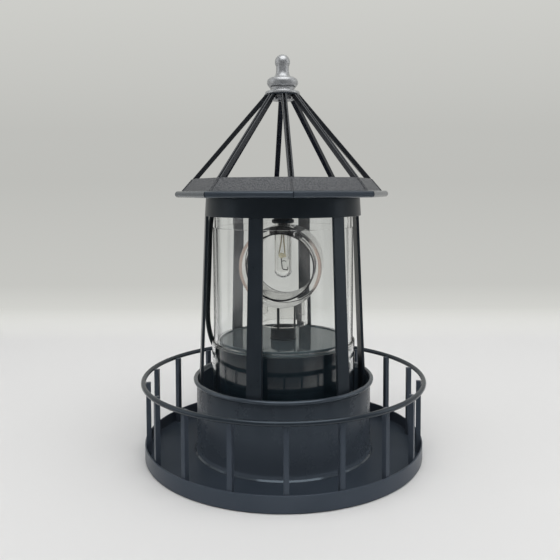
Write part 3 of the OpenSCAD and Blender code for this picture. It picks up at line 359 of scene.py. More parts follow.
# Painted shade and painted reflection: the nearly opaque black lip and the darker tints stand in for light bent away
# inside the plastic, and the brown sides for light reflected along the wall.
lens_inner_edge = lens_finish(
    "lens_inner_edge", (0.010, 0.011, 0.013), (0.012, 0.012, 0.014), (0.008, 0.009, 0.011), 0.02, 0.0)
lens_outer_edge = lens_finish(
    "lens_outer_edge", (0.84, 0.84, 0.83), (0.42, 0.27, 0.215), (0.035, 0.037, 0.042), 0.02)
lens_outer_wall = lens_finish(
    "lens_outer_wall", (0.96, 0.96, 0.95), (0.88, 0.82, 0.79), (0.20, 0.205, 0.21), 0.0)
lens_bore_face = lens_finish(
    "lens_bore_face", (0.64, 0.635, 0.60), (0.84, 0.83, 0.81), (0.9, 0.9, 0.88), 0.13)
print("made seven clear finishes")

# %% [markdown]
# ## Bare metals
# The finial is cast and sprayed with silver paint, so it is a metal with a soft, slightly pebbled surface.
# The screws are zinc-plated steel, the bush and the bulb's lead wires are brass.
# %% Metals
def metal(name, colour, rough, spread=0.08, metallic=1.0, depth=0.00001, scale=1200, stretch=(1, 1, 1), **more):
    bare = Finish(name, Metallic=metallic, **more)
    cloud = bare.noise(80, 3)
    bare.feed("Base Color", bare.blend(cloud, colour, times(colour, 0.86)))
    bare.feed("Roughness", cloud * spread + (rough - spread / 2))
    bare.relief(bare.noise(scale, 2, stretch), depth, 0.5)
    return bare.material


finial_silver = metal("silver_painted_casting", (0.47, 0.48, 0.49), 0.36, 0.1, 0.66, 0.00003, 900)
zinc_steel = metal("zinc_plated_steel", (0.55, 0.56, 0.57), 0.32)
motor_steel = metal("drawn_steel_can", (0.48, 0.49, 0.50), 0.28, scale=900, stretch=(1, 1, 8))
brass = metal("brass", (0.66, 0.47, 0.19), 0.27)
pale_brass = metal("pale_brass", (0.80, 0.70, 0.46), 0.42, 0.1, 0.6, 0.0002, 900)
# The crystal is given a weak emission: a painted glow that stands in for light the lamp plate keeps from it.
pale_crystal = metal(
    "pale_crystal", (0.90, 0.84, 0.64), 0.5, 0.1, 0.0, 0.0003, 900,
    Emission_Color=(0.95, 0.88, 0.62), Emission_Strength=0.22)
dark_wire = metal("dark_wire", (0.09, 0.09, 0.095), 0.35)
print("made six metals and the crystal's powder")

# %% [markdown]
# ## Making meshes
# Most pieces of the lantern are round, and a lathe makes them: a profile of radius and height is turned round
# the upright axis. Sheet metal is never sharp, so the helper `soft` cuts each marked corner of a profile into a
# short arc first. `piece` gives a mesh its smooth shading, its body and its material, and hides the solids
# that it stands for.
# %% Profiles, lathe and pieces
def soft(points, steps=4):
    """Profile points [r, z] or [r, z, radius]; a corner with a radius becomes an arc."""
    out = []
    for i, here in enumerate(points):
        p = Vector(here[:2])
        radius = here[2] if len(here) > 2 else 0
        if not radius:
            out.append(p)
            continue
        before, after = Vector(points[i - 1][:2]), Vector(points[(i + 1) % len(points)][:2])
        a, b = (before - p), (after - p)
        half = a.angle(b) / 2
        back = min(radius / math.tan(half), a.length * 0.49, b.length * 0.49)
        start, end = p + a.normalized() * back, p + b.normalized() * back
        for k in range(steps + 1):
            t = k / steps
            out.append(start * (1 - t) ** 2 + p * 2 * t * (1 - t) + end * t * t)
    return [tuple(q) for q in out]


def arc(r, z, radius, first, last, steps):
    """Profile points on an arc about (r, z), from one angle to another."""
    angles = [math.radians(first + (last - first) * k / steps) for k in range(steps + 1)]
    return [(r + radius * math.cos(a), z + radius * math.sin(a)) for a in angles]


def lathe(profile, sides=192, first_turn=0.0):
    """A mesh from a closed profile in millimetres, turned round the upright axis."""
    bm = bmesh.new()
    rings = []
    for i in range(sides):
        turn = first_turn + 360 * i / sides
        rings.append([bm.verts.new(at(r, turn, z)) for r, z in profile])
    count = len(profile)
    for i in range(sides):
        one, two = rings[i], rings[(i + 1) % sides]
        for k in range(count):
            corners = [one[k], one[(k + 1) % count], two[(k + 1) % count], two[k]]
            bm.faces.new(corners)
    bmesh.ops.remove_doubles(bm, verts=bm.verts, dist=1e-7)
    flat = [f for f in bm.faces if f.calc_area() < 1e-14]
    bmesh.ops.delete(bm, geom=flat, context="FACES")
    bmesh.ops.recalc_face_normals(bm, faces=bm.faces)
    return bm


def new_object(name, bm):
    mesh = bpy.data.meshes.new(name)
    bm.to_mesh(mesh)
    bm.free()
    made = bpy.data.objects.new(name, mesh)
    scene.collection.objects.link(made)
    return made


def turned(name, profile, sides=192, first_turn=0.0):
    return new_object(name, lathe(profile, sides, first_turn))


def moved(bm, x, y):
    """The mesh after a move over the floor, in millimetres."""
    bmesh.ops.translate(bm, vec=Vector((x, y, 0)) * MM, verts=bm.verts)
    return bm


def tipped(bm, degrees, axis):
    """The mesh after a turn about one of the axes."""
    bmesh.ops.rotate(bm, matrix=Matrix.Rotation(math.radians(degrees), 3, axis), verts=bm.verts, cent=(0, 0, 0))
    return bm


def shade(mesh, angle=32):
    for face in mesh.polygons:
        face.use_smooth = True
    mesh.set_sharp_from_angle(angle=math.radians(angle))


def fixed(obj):
    """The object with its modifiers turned into a plain mesh."""
    graph = bpy.context.evaluated_depsgraph_get()
    plain = bpy.data.meshes.new_from_object(obj.evaluated_get(graph))
    old = obj.data
    obj.modifiers.clear()
    obj.data = plain
    bpy.data.meshes.remove(old)
    plain.name = obj.name
    return obj


def piece(obj, material, slot, *solids, body="lantern", angle=32):
    """Finishes an object as a piece that stands for some of the solids."""
    if material is not None:
        obj.data.materials.clear()
        obj.data.materials.append(material)
    shade(obj.data, angle)
    level = obj.modifiers.new("even_shading", "WEIGHTED_NORMAL")
    level.keep_sharp = True
    level.weight = 60
    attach(obj, body)
    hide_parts(*solids)
    low, high = Vector(obj.bound_box[0]), Vector(obj.bound_box[6])
    print(f"{obj.name}: {len(obj.data.polygons)} faces,", [round(v, 1) for v in (high - low) / MM], "mm")
    return obj


def box_mesh(low, high):
    """A box between two corners, in millimetres."""
    bm = bmesh.new()
    bmesh.ops.create_cube(bm, size=1)
    for v in bm.verts:
        v.co = Vector([(low[k] + high[k]) / 2 + v.co[k] * (high[k] - low[k]) for k in range(3)]) * MM
    return bm


def carved(obj, *tools, operation="DIFFERENCE"):
    """obj after each tool is cut from it or joined to it; the tools are used up."""
    for tool in tools:
        step = obj.modifiers.new("carve", "BOOLEAN")
        step.operation = operation
        step.solver = "EXACT"
        step.material_mode = "TRANSFER"
        step.object = tool
    fixed(obj)
    for tool in tools:
        bpy.data.objects.remove(tool)
    return obj


def by_face(obj, finishes, choose):
    """Gives each face one finish. choose reads its middle in millimetres and its normal, and gives a number."""
    obj.data.materials.clear()
    for finish in finishes:
        obj.data.materials.append(finish)
    for face in obj.data.polygons:
        face.material_index = int(choose(face.center / MM, face.normal))


print("mesh helpers are ready")

# %% [markdown]
# ## Copies in a ring
# Balusters, posts, ribs, bosses and the roof's corner folds repeat round the upright axis. One Geometry Nodes
# tree does all of them: it takes the mesh that it is put on, places a number of points at the centre, puts the
# mesh on each point with a growing turn, makes the copies real and gives them a material.
# %% Geometry Nodes: a ring of copies
def new_tree(name, **sizes):
    """A tree that takes a mesh, sizes and a material, and what its input node gives."""
    tree = bpy.data.node_groups.new(name, "GeometryNodeTree")
    for label, kind in {"Geometry": "Geometry", **sizes, "Material": "Material"}.items():
        tree.interface.new_socket(label.replace("_", " "), in_out="INPUT", socket_type="NodeSocket" + kind)
    tree.interface.new_socket("Geometry", in_out="OUTPUT", socket_type="NodeSocketGeometry")
    nodes = Nodes(tree)
    return nodes, nodes.node("NodeGroupInput").outputs


def end_tree(nodes, shape, given):
    """Makes the shape real, paints it and gives it out."""
    real = nodes.node("GeometryNodeRealizeInstances", None, {0: shape.outputs[0]})
    paint = nodes.node(
        "GeometryNodeSetMaterial", None, {"Geometry": real.outputs[0], "Material": given["Material"]})
    nodes.node("NodeGroupOutput", None, {0: paint.outputs[0]})
    return nodes.tree


def ring_tree():
    nodes, given = new_tree("copies_in_a_ring", Copies="Int", First_Turn="Float")
    points = nodes.node("GeometryNodePoints", None, {"Count": given["Copies"]})
    step = nodes.node("ShaderNodeMath", {"operation": "DIVIDE"}, {0: math.tau, 1: given["Copies"]})
    index = Number(nodes, nodes.node("GeometryNodeInputIndex").outputs[0])
    angles = nodes.node("ShaderNodeCombineXYZ", None, {"Z": index * step.outputs[0] + given["First Turn"]})
    copies = nodes.node(
        "GeometryNodeInstanceOnPoints", None,
        {"Points": points.outputs[0], "Instance": given["Geometry"], "Rotation": angles.outputs[0]})
    return end_tree(nodes, copies, given)


def run_tree(obj, tree, **values):
    """Puts a tree on obj, sets its named inputs and turns the result into a plain mesh."""
    step = obj.modifiers.new(tree.name, "NODES")
    step.node_group = tree
    for item in tree.interface.items_tree:
        key = item.name.lower().replace(" ", "_")
        if item.in_out == "INPUT" and key in values:
            step[item.identifier] = values[key]
    return fixed(obj)


ring_of_copies = ring_tree()


def in_a_ring(obj, copies, first_turn, material):
    """Copies of an object that was made pointing along +X."""
    turn = math.radians(first_turn - 90)
    return run_tree(obj, ring_of_copies, copies=copies, first_turn=turn, material=material)


print("tree:", ring_of_copies.name, len(ring_of_copies.nodes), "nodes")

# %% [markdown]
# ## Sweep along a line
# The cable and the bulb's wires follow a path. This tree turns a polyline into a curve, sweeps a round profile
# along it and closes the ends.
# %% Geometry Nodes: a round bar along a line
def sweep_tree():
    nodes, given = new_tree("round_bar_on_a_line", Radius="Float", Sides="Int")
    line = nodes.node("GeometryNodeMeshToCurve", None, {"Mesh": given["Geometry"]})
    ring = nodes.node(
        "GeometryNodeCurvePrimitiveCircle", None, {"Radius": given["Radius"], "Resolution": given["Sides"]})
    bar = nodes.node(
        "GeometryNodeCurveToMesh", None,
        {"Curve": line.outputs[0], "Profile Curve": ring.outputs[0], "Fill Caps": True})
    return end_tree(nodes, bar, given)


round_bar = sweep_tree()


def bar_on(name, points, radius, sides, material):
    """A round bar along points in millimetres."""
    bm = bmesh.new()
    line = [bm.verts.new(Vector(p) * MM) for p in points]
    for a, b in zip(line, line[1:]):
        bm.edges.new((a, b))
    return run_tree(new_object(name, bm), round_bar, radius=radius * MM, sides=sides, material=material)


print("tree:", round_bar.name, len(round_bar.nodes), "nodes")

# %% [markdown]
# ## Solar cable
# A cable joins the board in the housing to the solar panel under the roof. The photograph shows it down the
# left side of the clear tube. It leaves the housing through a hole in the wall, climbs between tube and posts,
# passes through the collar and goes into the roof. Its points repeat the solid's, and a smooth curve runs
# through them. Cables come before the rest, because they may not reach past the solid.
# %% Cable
CABLE = [
    (24, 21.6), (24, 23), (24, 26), (24.2, 32), (25, 38), (27, 42.6), (30.4, 45.4), (33.4, 47.4), (35.1, 50),
    (35.7, 52.6), (36.7, 55.2), (38, 58), (39.2, 62), (40.1, 67), (40.4, 73), (40.2, 81), (39.8, 90),
    (39.4, 100), (39, 110), (38.7, 118), (38, 124), (37.4, 127.6), (35.6, 129.8), (32.6, 131),
    (28, 131.2), (20, 131.2), (12, 131.2), (7.6, 131.4), (4, 132.6), (1.4, 134.6), (0, 137.2),
    (0, 138.4), (0, 139.6), (0, 140.6),
]
CABLE_D = 2.6


def smooth_line(points, steps):
    """Points on a smooth curve through the given ones."""
    last = len(points) - 1
    out = []
    for i in range(last):
        a, b, c, d = (Vector(points[min(max(i + k, 0), last)]) for k in (-1, 0, 1, 2))
        for k in range(steps):
            t = k / steps
            out.append(0.5 * (2 * b + (c - a) * t + (2 * a - 5 * b + 4 * c - d) * t * t
                              + (3 * b - a - 3 * c + d) * t ** 3))
    return out + [Vector(points[last])]


cable_line = smooth_line([(-out, 0, up) for out, up in CABLE], 4)
cable_length = sum((b - a).length for a, b in zip(cable_line, cable_line[1:])) * MM
cable = bar_on("solar_lead", cable_line, CABLE_D / 2, 16, cable_rubber)
piece(cable, None, "cable_rubber", "solar_cable", angle=60)
tuple(cable_line[0] * MM)
[tuple(p * MM) for p in cable_line]
print("cable length, metres:", round(cable_length, 4))

# %% [markdown]
# ## Tray
# The gallery's tray is a flat disc with a thin upright rim, whose top edge is rolled over a little. Underneath it
# has countersunk screw holes and one opening for the battery door and the switch. The lathe turns the tray
# and Boolean modifiers cut those openings.
# %% Tray
tray_profile = soft([
    (0, 0), (73.3, 0, 0.9), (73.3, 8.2, 0.36), (72.5, 8.2, 0.36), (72.5, FLOOR, 0.5), (0, FLOOR),
])
tray = turned("tray", tray_profile)
cuts = [new_object("cut_access", box_mesh((-28.55, -14.55, -1), (28.55, 14, 3)))]
for spot in [at(41.5, POST_TURN + 30 + 120 * i, 0) / MM for i in range(3)] + [
    Vector((sx * 12, sy * 24, 0)) for sx in (-1, 1) for sy in (-1, 1)
]:
    cone = lathe([(0, -0.5), (2.3, -0.5), (2.3, 0.0), (1.2, 1.3), (1.2, 3), (0, 3)], 32)
    cuts.append(new_object("cut_screw", moved(cone, spot.x, spot.y)))
carved(tray, *cuts)
# The rim takes the gallery paint with its painted light. The floor of the tray keeps a darker, duller paint.
by_face(tray, (gallery_black_painted_light, floor_black), lambda spot, normal: normal.z > 0.9 and spot.z < FLOOR + 1)
piece(tray, None, "black_metal", "gallery_tray")

# %% [markdown]
# ## Handrail and balusters
# The handrail is a round bar bent to a hoop. The balusters are square bars that stand inside the rim and end
# behind the rail, which hides their tops from the front. A square bar with broken edges is made once, pointing
# along +X, and the ring tree repeats it.
# %% Handrail and balusters
rail = turned("rail", arc(RAIL_R, RAIL_TOP - RAIL_BAR / 2, RAIL_BAR / 2, 0, 337.5, 15), 256)
piece(rail, edge_black, "black_metal", "handrail", angle=60)


def soft_bar(low, high, edge):
    """A box with broken edges, in millimetres."""
    bm = box_mesh(low, high)
    bmesh.ops.bevel(bm, geom=bm.edges[:], offset=edge * MM, segments=2, profile=0.6, affect="EDGES")
    return bm


bar = new_object("rail_bars", soft_bar((69.94, -1.25, FLOOR), (72.44, 1.25, RAIL_TOP - 1.3), 0.22))
# The balusters take the gallery paint, painted lighter as painted light.
in_a_ring(bar, 18, BAR_TURN, gallery_black_painted_light)
piece(bar, gallery_black_painted_light, "black_metal", "balusters")

# %% [markdown]
# ## Drum
# The drum is a low ring of sheet with a rolled bead round its top and a flared foot. A ledge inside carries the
# clear tube and the feet of the posts. The bead and the foot catch a bright line of light each, so their arcs
# have enough points.
# %% Drum
drum_profile = (
    [(34.4, FLOOR)]
    + soft([(47.6, FLOOR), (47.6, 2.15, 0.1), (46.85, 2.9, 0.25), (46.4, 4.2, 0.3), (46.2, 5.4)])
    + [(46.2, 38.25)]
    + arc(46.7, 39.4, 1.2, -112, 180, 20)
    + [(45.0, 38.6), (45.0, LEDGE), (34.4, LEDGE)]
)
drum = turned("drum_wall", drum_profile)


def drum_face(spot, normal):
    """0 plain wall, 1 rolled bead and foot, 2 inside."""
    out = math.hypot(spot.x, spot.y)
    rolled = spot.z > 38.26 or (spot.z < 3.3 and out > 46.3)
    return 1 if rolled else 2 if out < 45.1 else 0


# The inside faces get the paint that is painted lighter as painted light.
by_face(drum, (drum_black, bead_black, inside_black_painted_light), drum_face)
piece(drum, None, "black_metal", "drum")

# %% [markdown]
# ## Posts
# Each post is a flat strip of sheet. It stands upright inside the drum, leans inwards above it, narrows towards
# the collar and ends in a thin tongue behind the band. One strip is drawn in side view, given its width and
# broken edges, and the ring tree makes six of it.
# %% Posts
def post_strip():
    foot, top = 44.62, 41.05
    lean = (foot - top) / (COLLAR_LOW - DRUM_TOP)

    def face(z):
        return foot if z < DRUM_TOP else top - lean * (z - COLLAR_LOW)

    rows = [(3.0, 7.9, 1.5), (DRUM_TOP, 7.9, 1.5), (COLLAR_LOW, 7.1, 1.5)]
    bm = bmesh.new()
    rings = []
    for z, width, thick in rows:
        r = face(z)
        rings.append([bm.verts.new(Vector(p) * MM) for p in (
            (r, -width / 2, z), (r, width / 2, z), (r - thick, width / 2, z), (r - thick, -width / 2, z))])
    for a, b in zip(rings, rings[1:]):
        for k in range(4):
            bm.faces.new((a[k], a[(k + 1) % 4], b[(k + 1) % 4], b[k]))
    bm.faces.new(rings[0][::-1])
    bm.faces.new(rings[-1])
    bmesh.ops.recalc_face_normals(bm, faces=bm.faces)
    sharp = [e for e in bm.edges if e.calc_face_angle(0) > 0.5]
    bmesh.ops.bevel(bm, geom=sharp, offset=0.25 * MM, segments=2, profile=0.6, affect="EDGES")
    return bm


posts = new_object("post_strips", post_strip())
tongue = new_object("post_tongue", soft_bar((39.6, -3.55, COLLAR_LOW - 0.3), (40.3, 3.55, 130.6), 0.1))
carved(posts, tongue, operation="UNION")
in_a_ring(posts, 6, POST_TURN, satin_black)
piece(posts, satin_black, "black_metal", *[f"post_{i}" for i in range(1, 7)])

# %% [markdown]
# ## Collar
# The collar is a band that flares a little towards its lower edge. A flange turned inwards at its top carries the
# roof, and four bosses under the flange take the roof's screws.
# %% Collar
collar_profile = soft([
    (39.8, COLLAR_LOW, 0.3), (41.2, COLLAR_LOW, 0.3), (40.6, ROOF_LOW, 0.5), (30, ROOF_LOW, 0.4),
    (30, 133.6, 0.4), (39.2, 133.6, 0.4),
])
collar_black = black_paint("collar_black_paint", (0.017, 0.022, 0.027), (0.024, 0.029, 0.035), shine=0.17)
collar = turned("collar_band", collar_profile)
boss = lathe(soft([(0, 129.6), (2.8, 129.6, 0.3), (2.8, 133.8), (0, 133.8)]), 32)
bosses = in_a_ring(new_object("bosses", moved(boss, 34, 0)), 4, 45, collar_black)
carved(collar, bosses, operation="UNION")
piece(collar, collar_black, "black_metal", "collar")

# %% [markdown]
# ## Roof skirt
# The roof starts as an octagon: a flat brim with a rolled edge and a sloping skirt above it. A lathe with
# eight sides gives exactly that shape, with its corners mitred. The mitres show as fine dark lines in the brim, so
# a thin slot is cut at each corner. On the skirt a small double fold runs down each corner in line with the rib
# above it, and the sloping faces get the grained finish.
# %% Roof skirt
BRIM_CORNER = 56.83
SLOPE_CORNER = 52.93
SLOPE = math.atan2(CAP_LOW - BRIM_TOP, SLOPE_CORNER - 9.7)
skirt_run = 1.5 / math.sin(SLOPE)
skirt_high_r = SLOPE_CORNER - (SKIRT_TOP - BRIM_TOP) / math.tan(SLOPE)
roof_profile = (
    [(8, ROOF_LOW)]
    + arc(BRIM_CORNER - 1.65, ROOF_LOW + 1.65, 1.65, -90, 128, 16)
    + soft([(BRIM_CORNER - 3.1, BRIM_TOP - 0.45, 0.1), (BRIM_CORNER - 3.2, BRIM_TOP, 0.1),
            (SLOPE_CORNER, BRIM_TOP, 0.3), (skirt_high_r, SKIRT_TOP, 0.45),
            (skirt_high_r - skirt_run, SKIRT_TOP, 0.45), (SLOPE_CORNER - skirt_run, BRIM_TOP),
            (49.3, BRIM_TOP), (49.3, 137.2), (8, 137.2)], 3)[1:]
)


def along_slope(bm, section, low, high):
    """Bridges a section of (sideways, depth) between two heights on the roof's corner line."""
    run = 1 / math.sin(SLOPE)
    ends = []
    for z in (low, high):
        r = SLOPE_CORNER - (z - BRIM_TOP) / math.tan(SLOPE)
        ends.append([bm.verts.new(Vector((r + d * run, y, z)) * MM) for y, d in section])
    count = len(section)
    for k in range(count):
        bm.faces.new((ends[0][k], ends[0][(k + 1) % count], ends[1][(k + 1) % count], ends[1][k]))
    caps = [bm.faces.new(ends[0]), bm.faces.new(ends[1][::-1])]
    bmesh.ops.triangulate(bm, faces=caps)
    bmesh.ops.recalc_face_normals(bm, faces=bm.faces)


def two_ridges(half, crown, groove, deep, top, bottom):
    """A section with two rounded ridges and a V-shaped groove between them."""
    middle = (half + groove) / 2
    reach = half - middle
    side = [(0.02, top - deep)]
    side += [(middle - reach * math.cos(a), top - crown + crown * math.sin(a)) for a in
             [math.pi * k / 8 for k in range(9)]]
    side += [(half, bottom)]
    return side + [(-y, d) for y, d in reversed(side)]


roof = turned("roof_brim", roof_profile, 8, RIB_TURN)
slot = new_object("mitre", box_mesh((BRIM_CORNER - 0.7, -0.3, 134), (BRIM_CORNER + 2, 0.3, 140)))
carved(roof, in_a_ring(slot, 8, RIB_TURN, satin_black))
fold = bmesh.new()
along_slope(fold, two_ridges(0.75, 0.25, 0.25, 0.8, 0.3, -0.6), BRIM_TOP - 0.2, SKIRT_TOP - 0.3)
folds = in_a_ring(new_object("corner_folds", fold), 8, RIB_TURN, grained_black)
carved(roof, folds, operation="UNION")
by_face(roof, (bead_black, grained_black),
        lambda spot, normal: normal.xy.dot(spot.xy) > 0 and spot.z > BRIM_TOP + 0.1)
piece(roof, None, "textured_metal", "roof_skirt", angle=28)

# %% [markdown]
# ## Roof ribs
# Eight ribs rise from the skirt to the cap. Each has two rounded ridges with a narrow dark groove between them, and
# a tongue that runs down behind the sheet. Over the corners of the skirt the sheet itself is folded into a much
# smaller pair of ridges. One cross-section with a width serves both: it is set at the foot and at the head and
# bridged.
# %% Ribs
def rib_bar():
    bm = bmesh.new()
    along_slope(bm, two_ridges(1.4, 0.5, 0.42, 1.5, 0, -2.4), SKIRT_TOP, CAP_LOW)
    along_slope(bm, [(-1.2, -1.6), (1.2, -1.6), (1.2, -2.35), (-1.2, -2.35)], BRIM_TOP + 1, SKIRT_TOP + 1)
    return bm


ribs = in_a_ring(new_object("roof_ribs", rib_bar()), 8, RIB_TURN, rib_black)
piece(ribs, rib_black, "black_metal", *[f"roof_rib_{i}" for i in range(1, 9)], angle=40)

# %% [markdown]
# ## Cap and finial
# An octagonal cap closes the ribs, with a round boss below it. The finial is a small casting: a foot, a concave
# neck, a fat ring bead, a stem and a ball. All of it is one lathe profile of arcs, because the light on a turned
# piece shows every flat.
# %% Cap and finial
cap = turned("roof_top_cap", soft([
    (1.6, CAP_LOW), (9.7, CAP_LOW, 0.15), (9.7, FINIAL_LOW, 0.2), (1.6, FINIAL_LOW)]), 8, RIB_TURN)
cap_boss = turned("cap_boss", soft([(1.6, 186.0), (6, 186.0, 0.4), (6, 188.5), (1.6, 188.5)]), 64)
carved(cap, cap_boss, operation="UNION")
by_face(cap, (satin_black, finial_silver), lambda spot, normal: spot.z < CAP_LOW - 0.05)
piece(cap, None, "black_metal", "roof_cap")

z0 = FINIAL_LOW
finial_profile = (
    [(1.5, z0), (8.85, z0), (9.15, z0 + 0.3)]
    + arc(8.35, z0 + 0.9, 0.8, 0, 90, 6)
    + arc(7.6, z0 + 2.9, 1.2, -90, -180, 8)
    + soft([(6.4, z0 + 3.4), (6.6, z0 + 3.75, 0.2), (7.0, z0 + 3.8)])[1:]
    + arc(5.6, z0 + 6.3, 2.6, -72, 78, 18)
    + [(r, z0 + up) for r, up in ((4.95, 8.9), (4.4, 9.25), (4.05, 9.75), (3.75, 10.4), (3.52, 11.2), (3.4, 12.2),
                                  (3.38, 14.15))]
    + arc(0, z0 + 17, 4, -32, 90, 16)
    + [(0, z0 + 7), (1.5, z0 + 7)]
)
finial = turned("finial_casting", finial_profile, 96)
piece(finial, finial_silver, "finial_silver", "finial", angle=40)

# %% [markdown]
# ## Clear tube
# The tube is one clear moulding: a wide foot round the housing, a shoulder, the window and a narrow neck inside
# the collar. Both walls are in the profile, because the bright lines at its sides come from light that is bent
# by a wall of real thickness. A slot lets the cable through.
# %% Clear tube
tube_profile = soft([
    (36.8, LEDGE, 0.2), (38, LEDGE, 0.3), (38, SHOULDER, 0.4), (37.1, SHOULDER, 0.3), (37.1, 119.6, 0.1),
    (36.25, 119.6, 0.1), (36.25, TUBE_TOP, 0.3), (35.1, TUBE_TOP, 0.3), (35.1, 58.5, 0.3), (36.8, 58.5, 0.3),
], 3)
tube = turned("window_tube", tube_profile, 160)
slots = [box_mesh((-39, -1.6, 51), (-35.8, 1.6, 58.5)), box_mesh((-39, -1.6, 58.4), (-36.5, 1.6, 61))]
carved(tube, *[new_object("cable_slot", s) for s in slots])
piece(tube, clear_tube_plastic, "clear_plastic", "clear_tube", angle=28)

# %% [markdown]
# ## Deck and knob
# The polished deck closes the housing, with a raised lip round it. The knob on it turns the lens: a low
# chamfered button, from which two thin dark prongs rise inside the lens's skirt and drive it.
# %% Deck and knob
deck_profile = soft([
    (4, DECK_LOW), (31, DECK_LOW), (31, 55.6), (32.2, 55.6), (32.2, DECK_LOW), (33.9, DECK_LOW, 0.2),
    (33.9, 60.6, 0.3), (32.7, 60.6, 0.3), (32.7, DECK_TOP, 0.2), (4, DECK_TOP),
], 3)
deck = turned("deck_disc", deck_profile, 160)
stand_profile = [(0, 48), (2.5, 48), (2.5, DECK_LOW + 0.2), (0, DECK_LOW + 0.2)]
stands = [new_object("deck_stand", moved(lathe(stand_profile, 32), x, y))
          for x, y in ((-14.8, 0), (11, -10.4), (20, 5))]
carved(deck, *stands, operation="UNION")
piece(deck, deck_gloss, "deck_gloss", "housing_deck")

knob_profile = soft([
    (2.0, 60.2), (7.0, 60.2, 0.1), (7.0, 60.6, 0.1), (6.7, 60.9, 0.2), (6.7, 65.3, 0.35), (5.7, 66.3, 0.35),
    (5.22, 66.3, 0.2), (5.22, 63.5), (2.0, 63.5),
], 3)
knob_plastic = black_plastic("knob_black_plastic", 0.019, 0.30, shine=0.3)
knob = turned("lens_knob", knob_profile, 96)
prongs = [new_object("knob_prong", tipped(soft_bar((5.6, -0.55, 62.0), (6.6, 0.55, 78.0), 0.1), turn - 90, "Z"))
          for turn in (-25, 90)]
carved(knob, *prongs, operation="UNION")
piece(knob, knob_plastic, "black_plastic", "coupling_knob", body="lens_rotor")

# %% [markdown]
# ## Lens
# The lens is a short clear barrel that lies on its side, open at both ends, with a hole on top for the bulb. A
# clear skirt carries it, and two rounded tongues hang inside the skirt. The parts are lathed separately, joined
# with a Boolean and bored through at the end, so the wall is one clear body. The dark lines at its lips and the
# faint brown at its sides come from light bent and reflected inside the plastic. They are painted in as tints of
# finishes of their own for the lips and walls: painted shade and painted reflection.
# %% Lens
LENS_R, LENS_END = 21.2, 14
BORE_R, LIP_R, PORT_R = 16.8, 17.7, 6.7


def lying(bm):
    """Turns a mesh that was lathed round the upright axis onto the Y axis at the lens's height."""
    tipped(bm, 90, "X")
    bmesh.ops.translate(bm, vec=(0, 0, LENS_MIDDLE * MM), verts=bm.verts)
    return bm


lens = new_object("lens_barrel", lying(lathe(soft([
    (0, -LENS_END), (19.5, -LENS_END), (LENS_R, -LENS_END, 1.1), (LENS_R, LENS_END, 1.1), (19.5, LENS_END),
    (0, LENS_END)], 6), 160)))
cup = turned("lens_cup", soft([(11.8, 67.8, 0.25), (13, 67.8, 0.25), (13, 92), (11.8, 92)]), 128)
tongues = []
for side in (-1, 1):
    bm = bmesh.new()
    outline = [(-1.6, 82), (1.6, 82)] + [(1.6 * math.cos(a), 74.2 + 1.6 * math.sin(a)) for a in
                                         [-math.pi * k / 10 for k in range(11)]]
    for y in (-1, 1):
        bm.faces.new([bm.verts.new(Vector((side * 10.1 + x, y, z)) * MM) for x, z in outline])
    bmesh.ops.bridge_loops(bm, edges=bm.edges[:])
    bmesh.ops.recalc_face_normals(bm, faces=bm.faces)
    tongues.append(new_object("lens_tongue", bm))
carved(lens, cup, *tongues, operation="UNION")
bore = new_object("lens_bore", lying(lathe([
    (0, -16), (LIP_R, -16), (LIP_R, -14.1), (BORE_R, -13.2), (BORE_R, 13.2), (LIP_R, 14.1), (LIP_R, 16),
    (0, 16)], 160)))
port = turned("lens_port", [(0, 108), (PORT_R, 108), (PORT_R, 124), (0, 124)], 96)
carved(lens, bore, port)


def lens_face(spot, normal):
    """0 plain, 1 inner lip, 2 outer lip and port, 3 bore, 4 outer wall."""
    up = spot.z - LENS_MIDDLE
    out = math.hypot(spot.x, up)
    if BORE_R + 0.05 < out < LIP_R + 0.05 and spot.y < -13 and abs(normal.y) < 0.9:
        return 1
    port_wall = math.hypot(spot.x, spot.y) < PORT_R + 0.1 and up > 16 and abs(normal.z) < 0.3
    if port_wall or (out > 19.6 and spot.y < -12.8):
        return 2
    if BORE_R - 0.2 < out < BORE_R + 0.05 and abs(normal.y) < 0.2:
        return 3
    return 4 if out > 20.5 and abs(spot.y) < 12.95 and abs(normal.y) < 0.1 else 0


by_face(lens, (clear_lens_plastic, lens_inner_edge, lens_outer_edge, lens_bore_face, lens_outer_wall), lens_face)
lens.data.transform(Matrix.Rotation(math.radians(LENS_TURN), 4, "Z"))
print("lens faces by finish:", [sum(f.material_index == k for f in lens.data.polygons) for k in range(5)])
piece(lens, None, "clear_plastic", "lens", body="lens_rotor", angle=30)

# %% [markdown]
# ## Lamp
# The lamp plate closes the tube under the roof and holds a stepped black socket. The bulb is a glass capsule with
# two sloping lead wires, a small crystal between them and a hook below.
# %% Lamp
plate = turned("lamp_ceiling", soft([
    (0, TUBE_TOP), (33.8, TUBE_TOP), (33.8, 125.4, 0.2), (35, 125.4, 0.2), (35, TUBE_TOP), (39, TUBE_TOP, 0.2),
    (39, 128.6, 0.3), (0, 128.6)]), 160)
carved(plate, new_object("cable_notch", box_mesh((-41, -1.6, 126.5), (-34.5, 1.6, 130))))
piece(plate, dull_plastic, "black_plastic", "lamp_plate")

socket = turned("lamp_socket", soft([
    (0, 118.6), (2.6, 118.6, 0.3), (2.6, 121.3, 0.1), (5.2, 121.3, 0.2), (5.9, 121.8, 0.3), (5.9, 123.2, 0.2),
    (4.9, 123.6, 0.1), (4.9, 124.2, 0.1), (4.2, 124.5), (4.2, 126.7), (2, 126.7), (2, 129.4), (0, 129.4)], 3), 64)
piece(socket, satin_plastic, "black_plastic", "bulb_socket")

BULB_LOW = 91.9


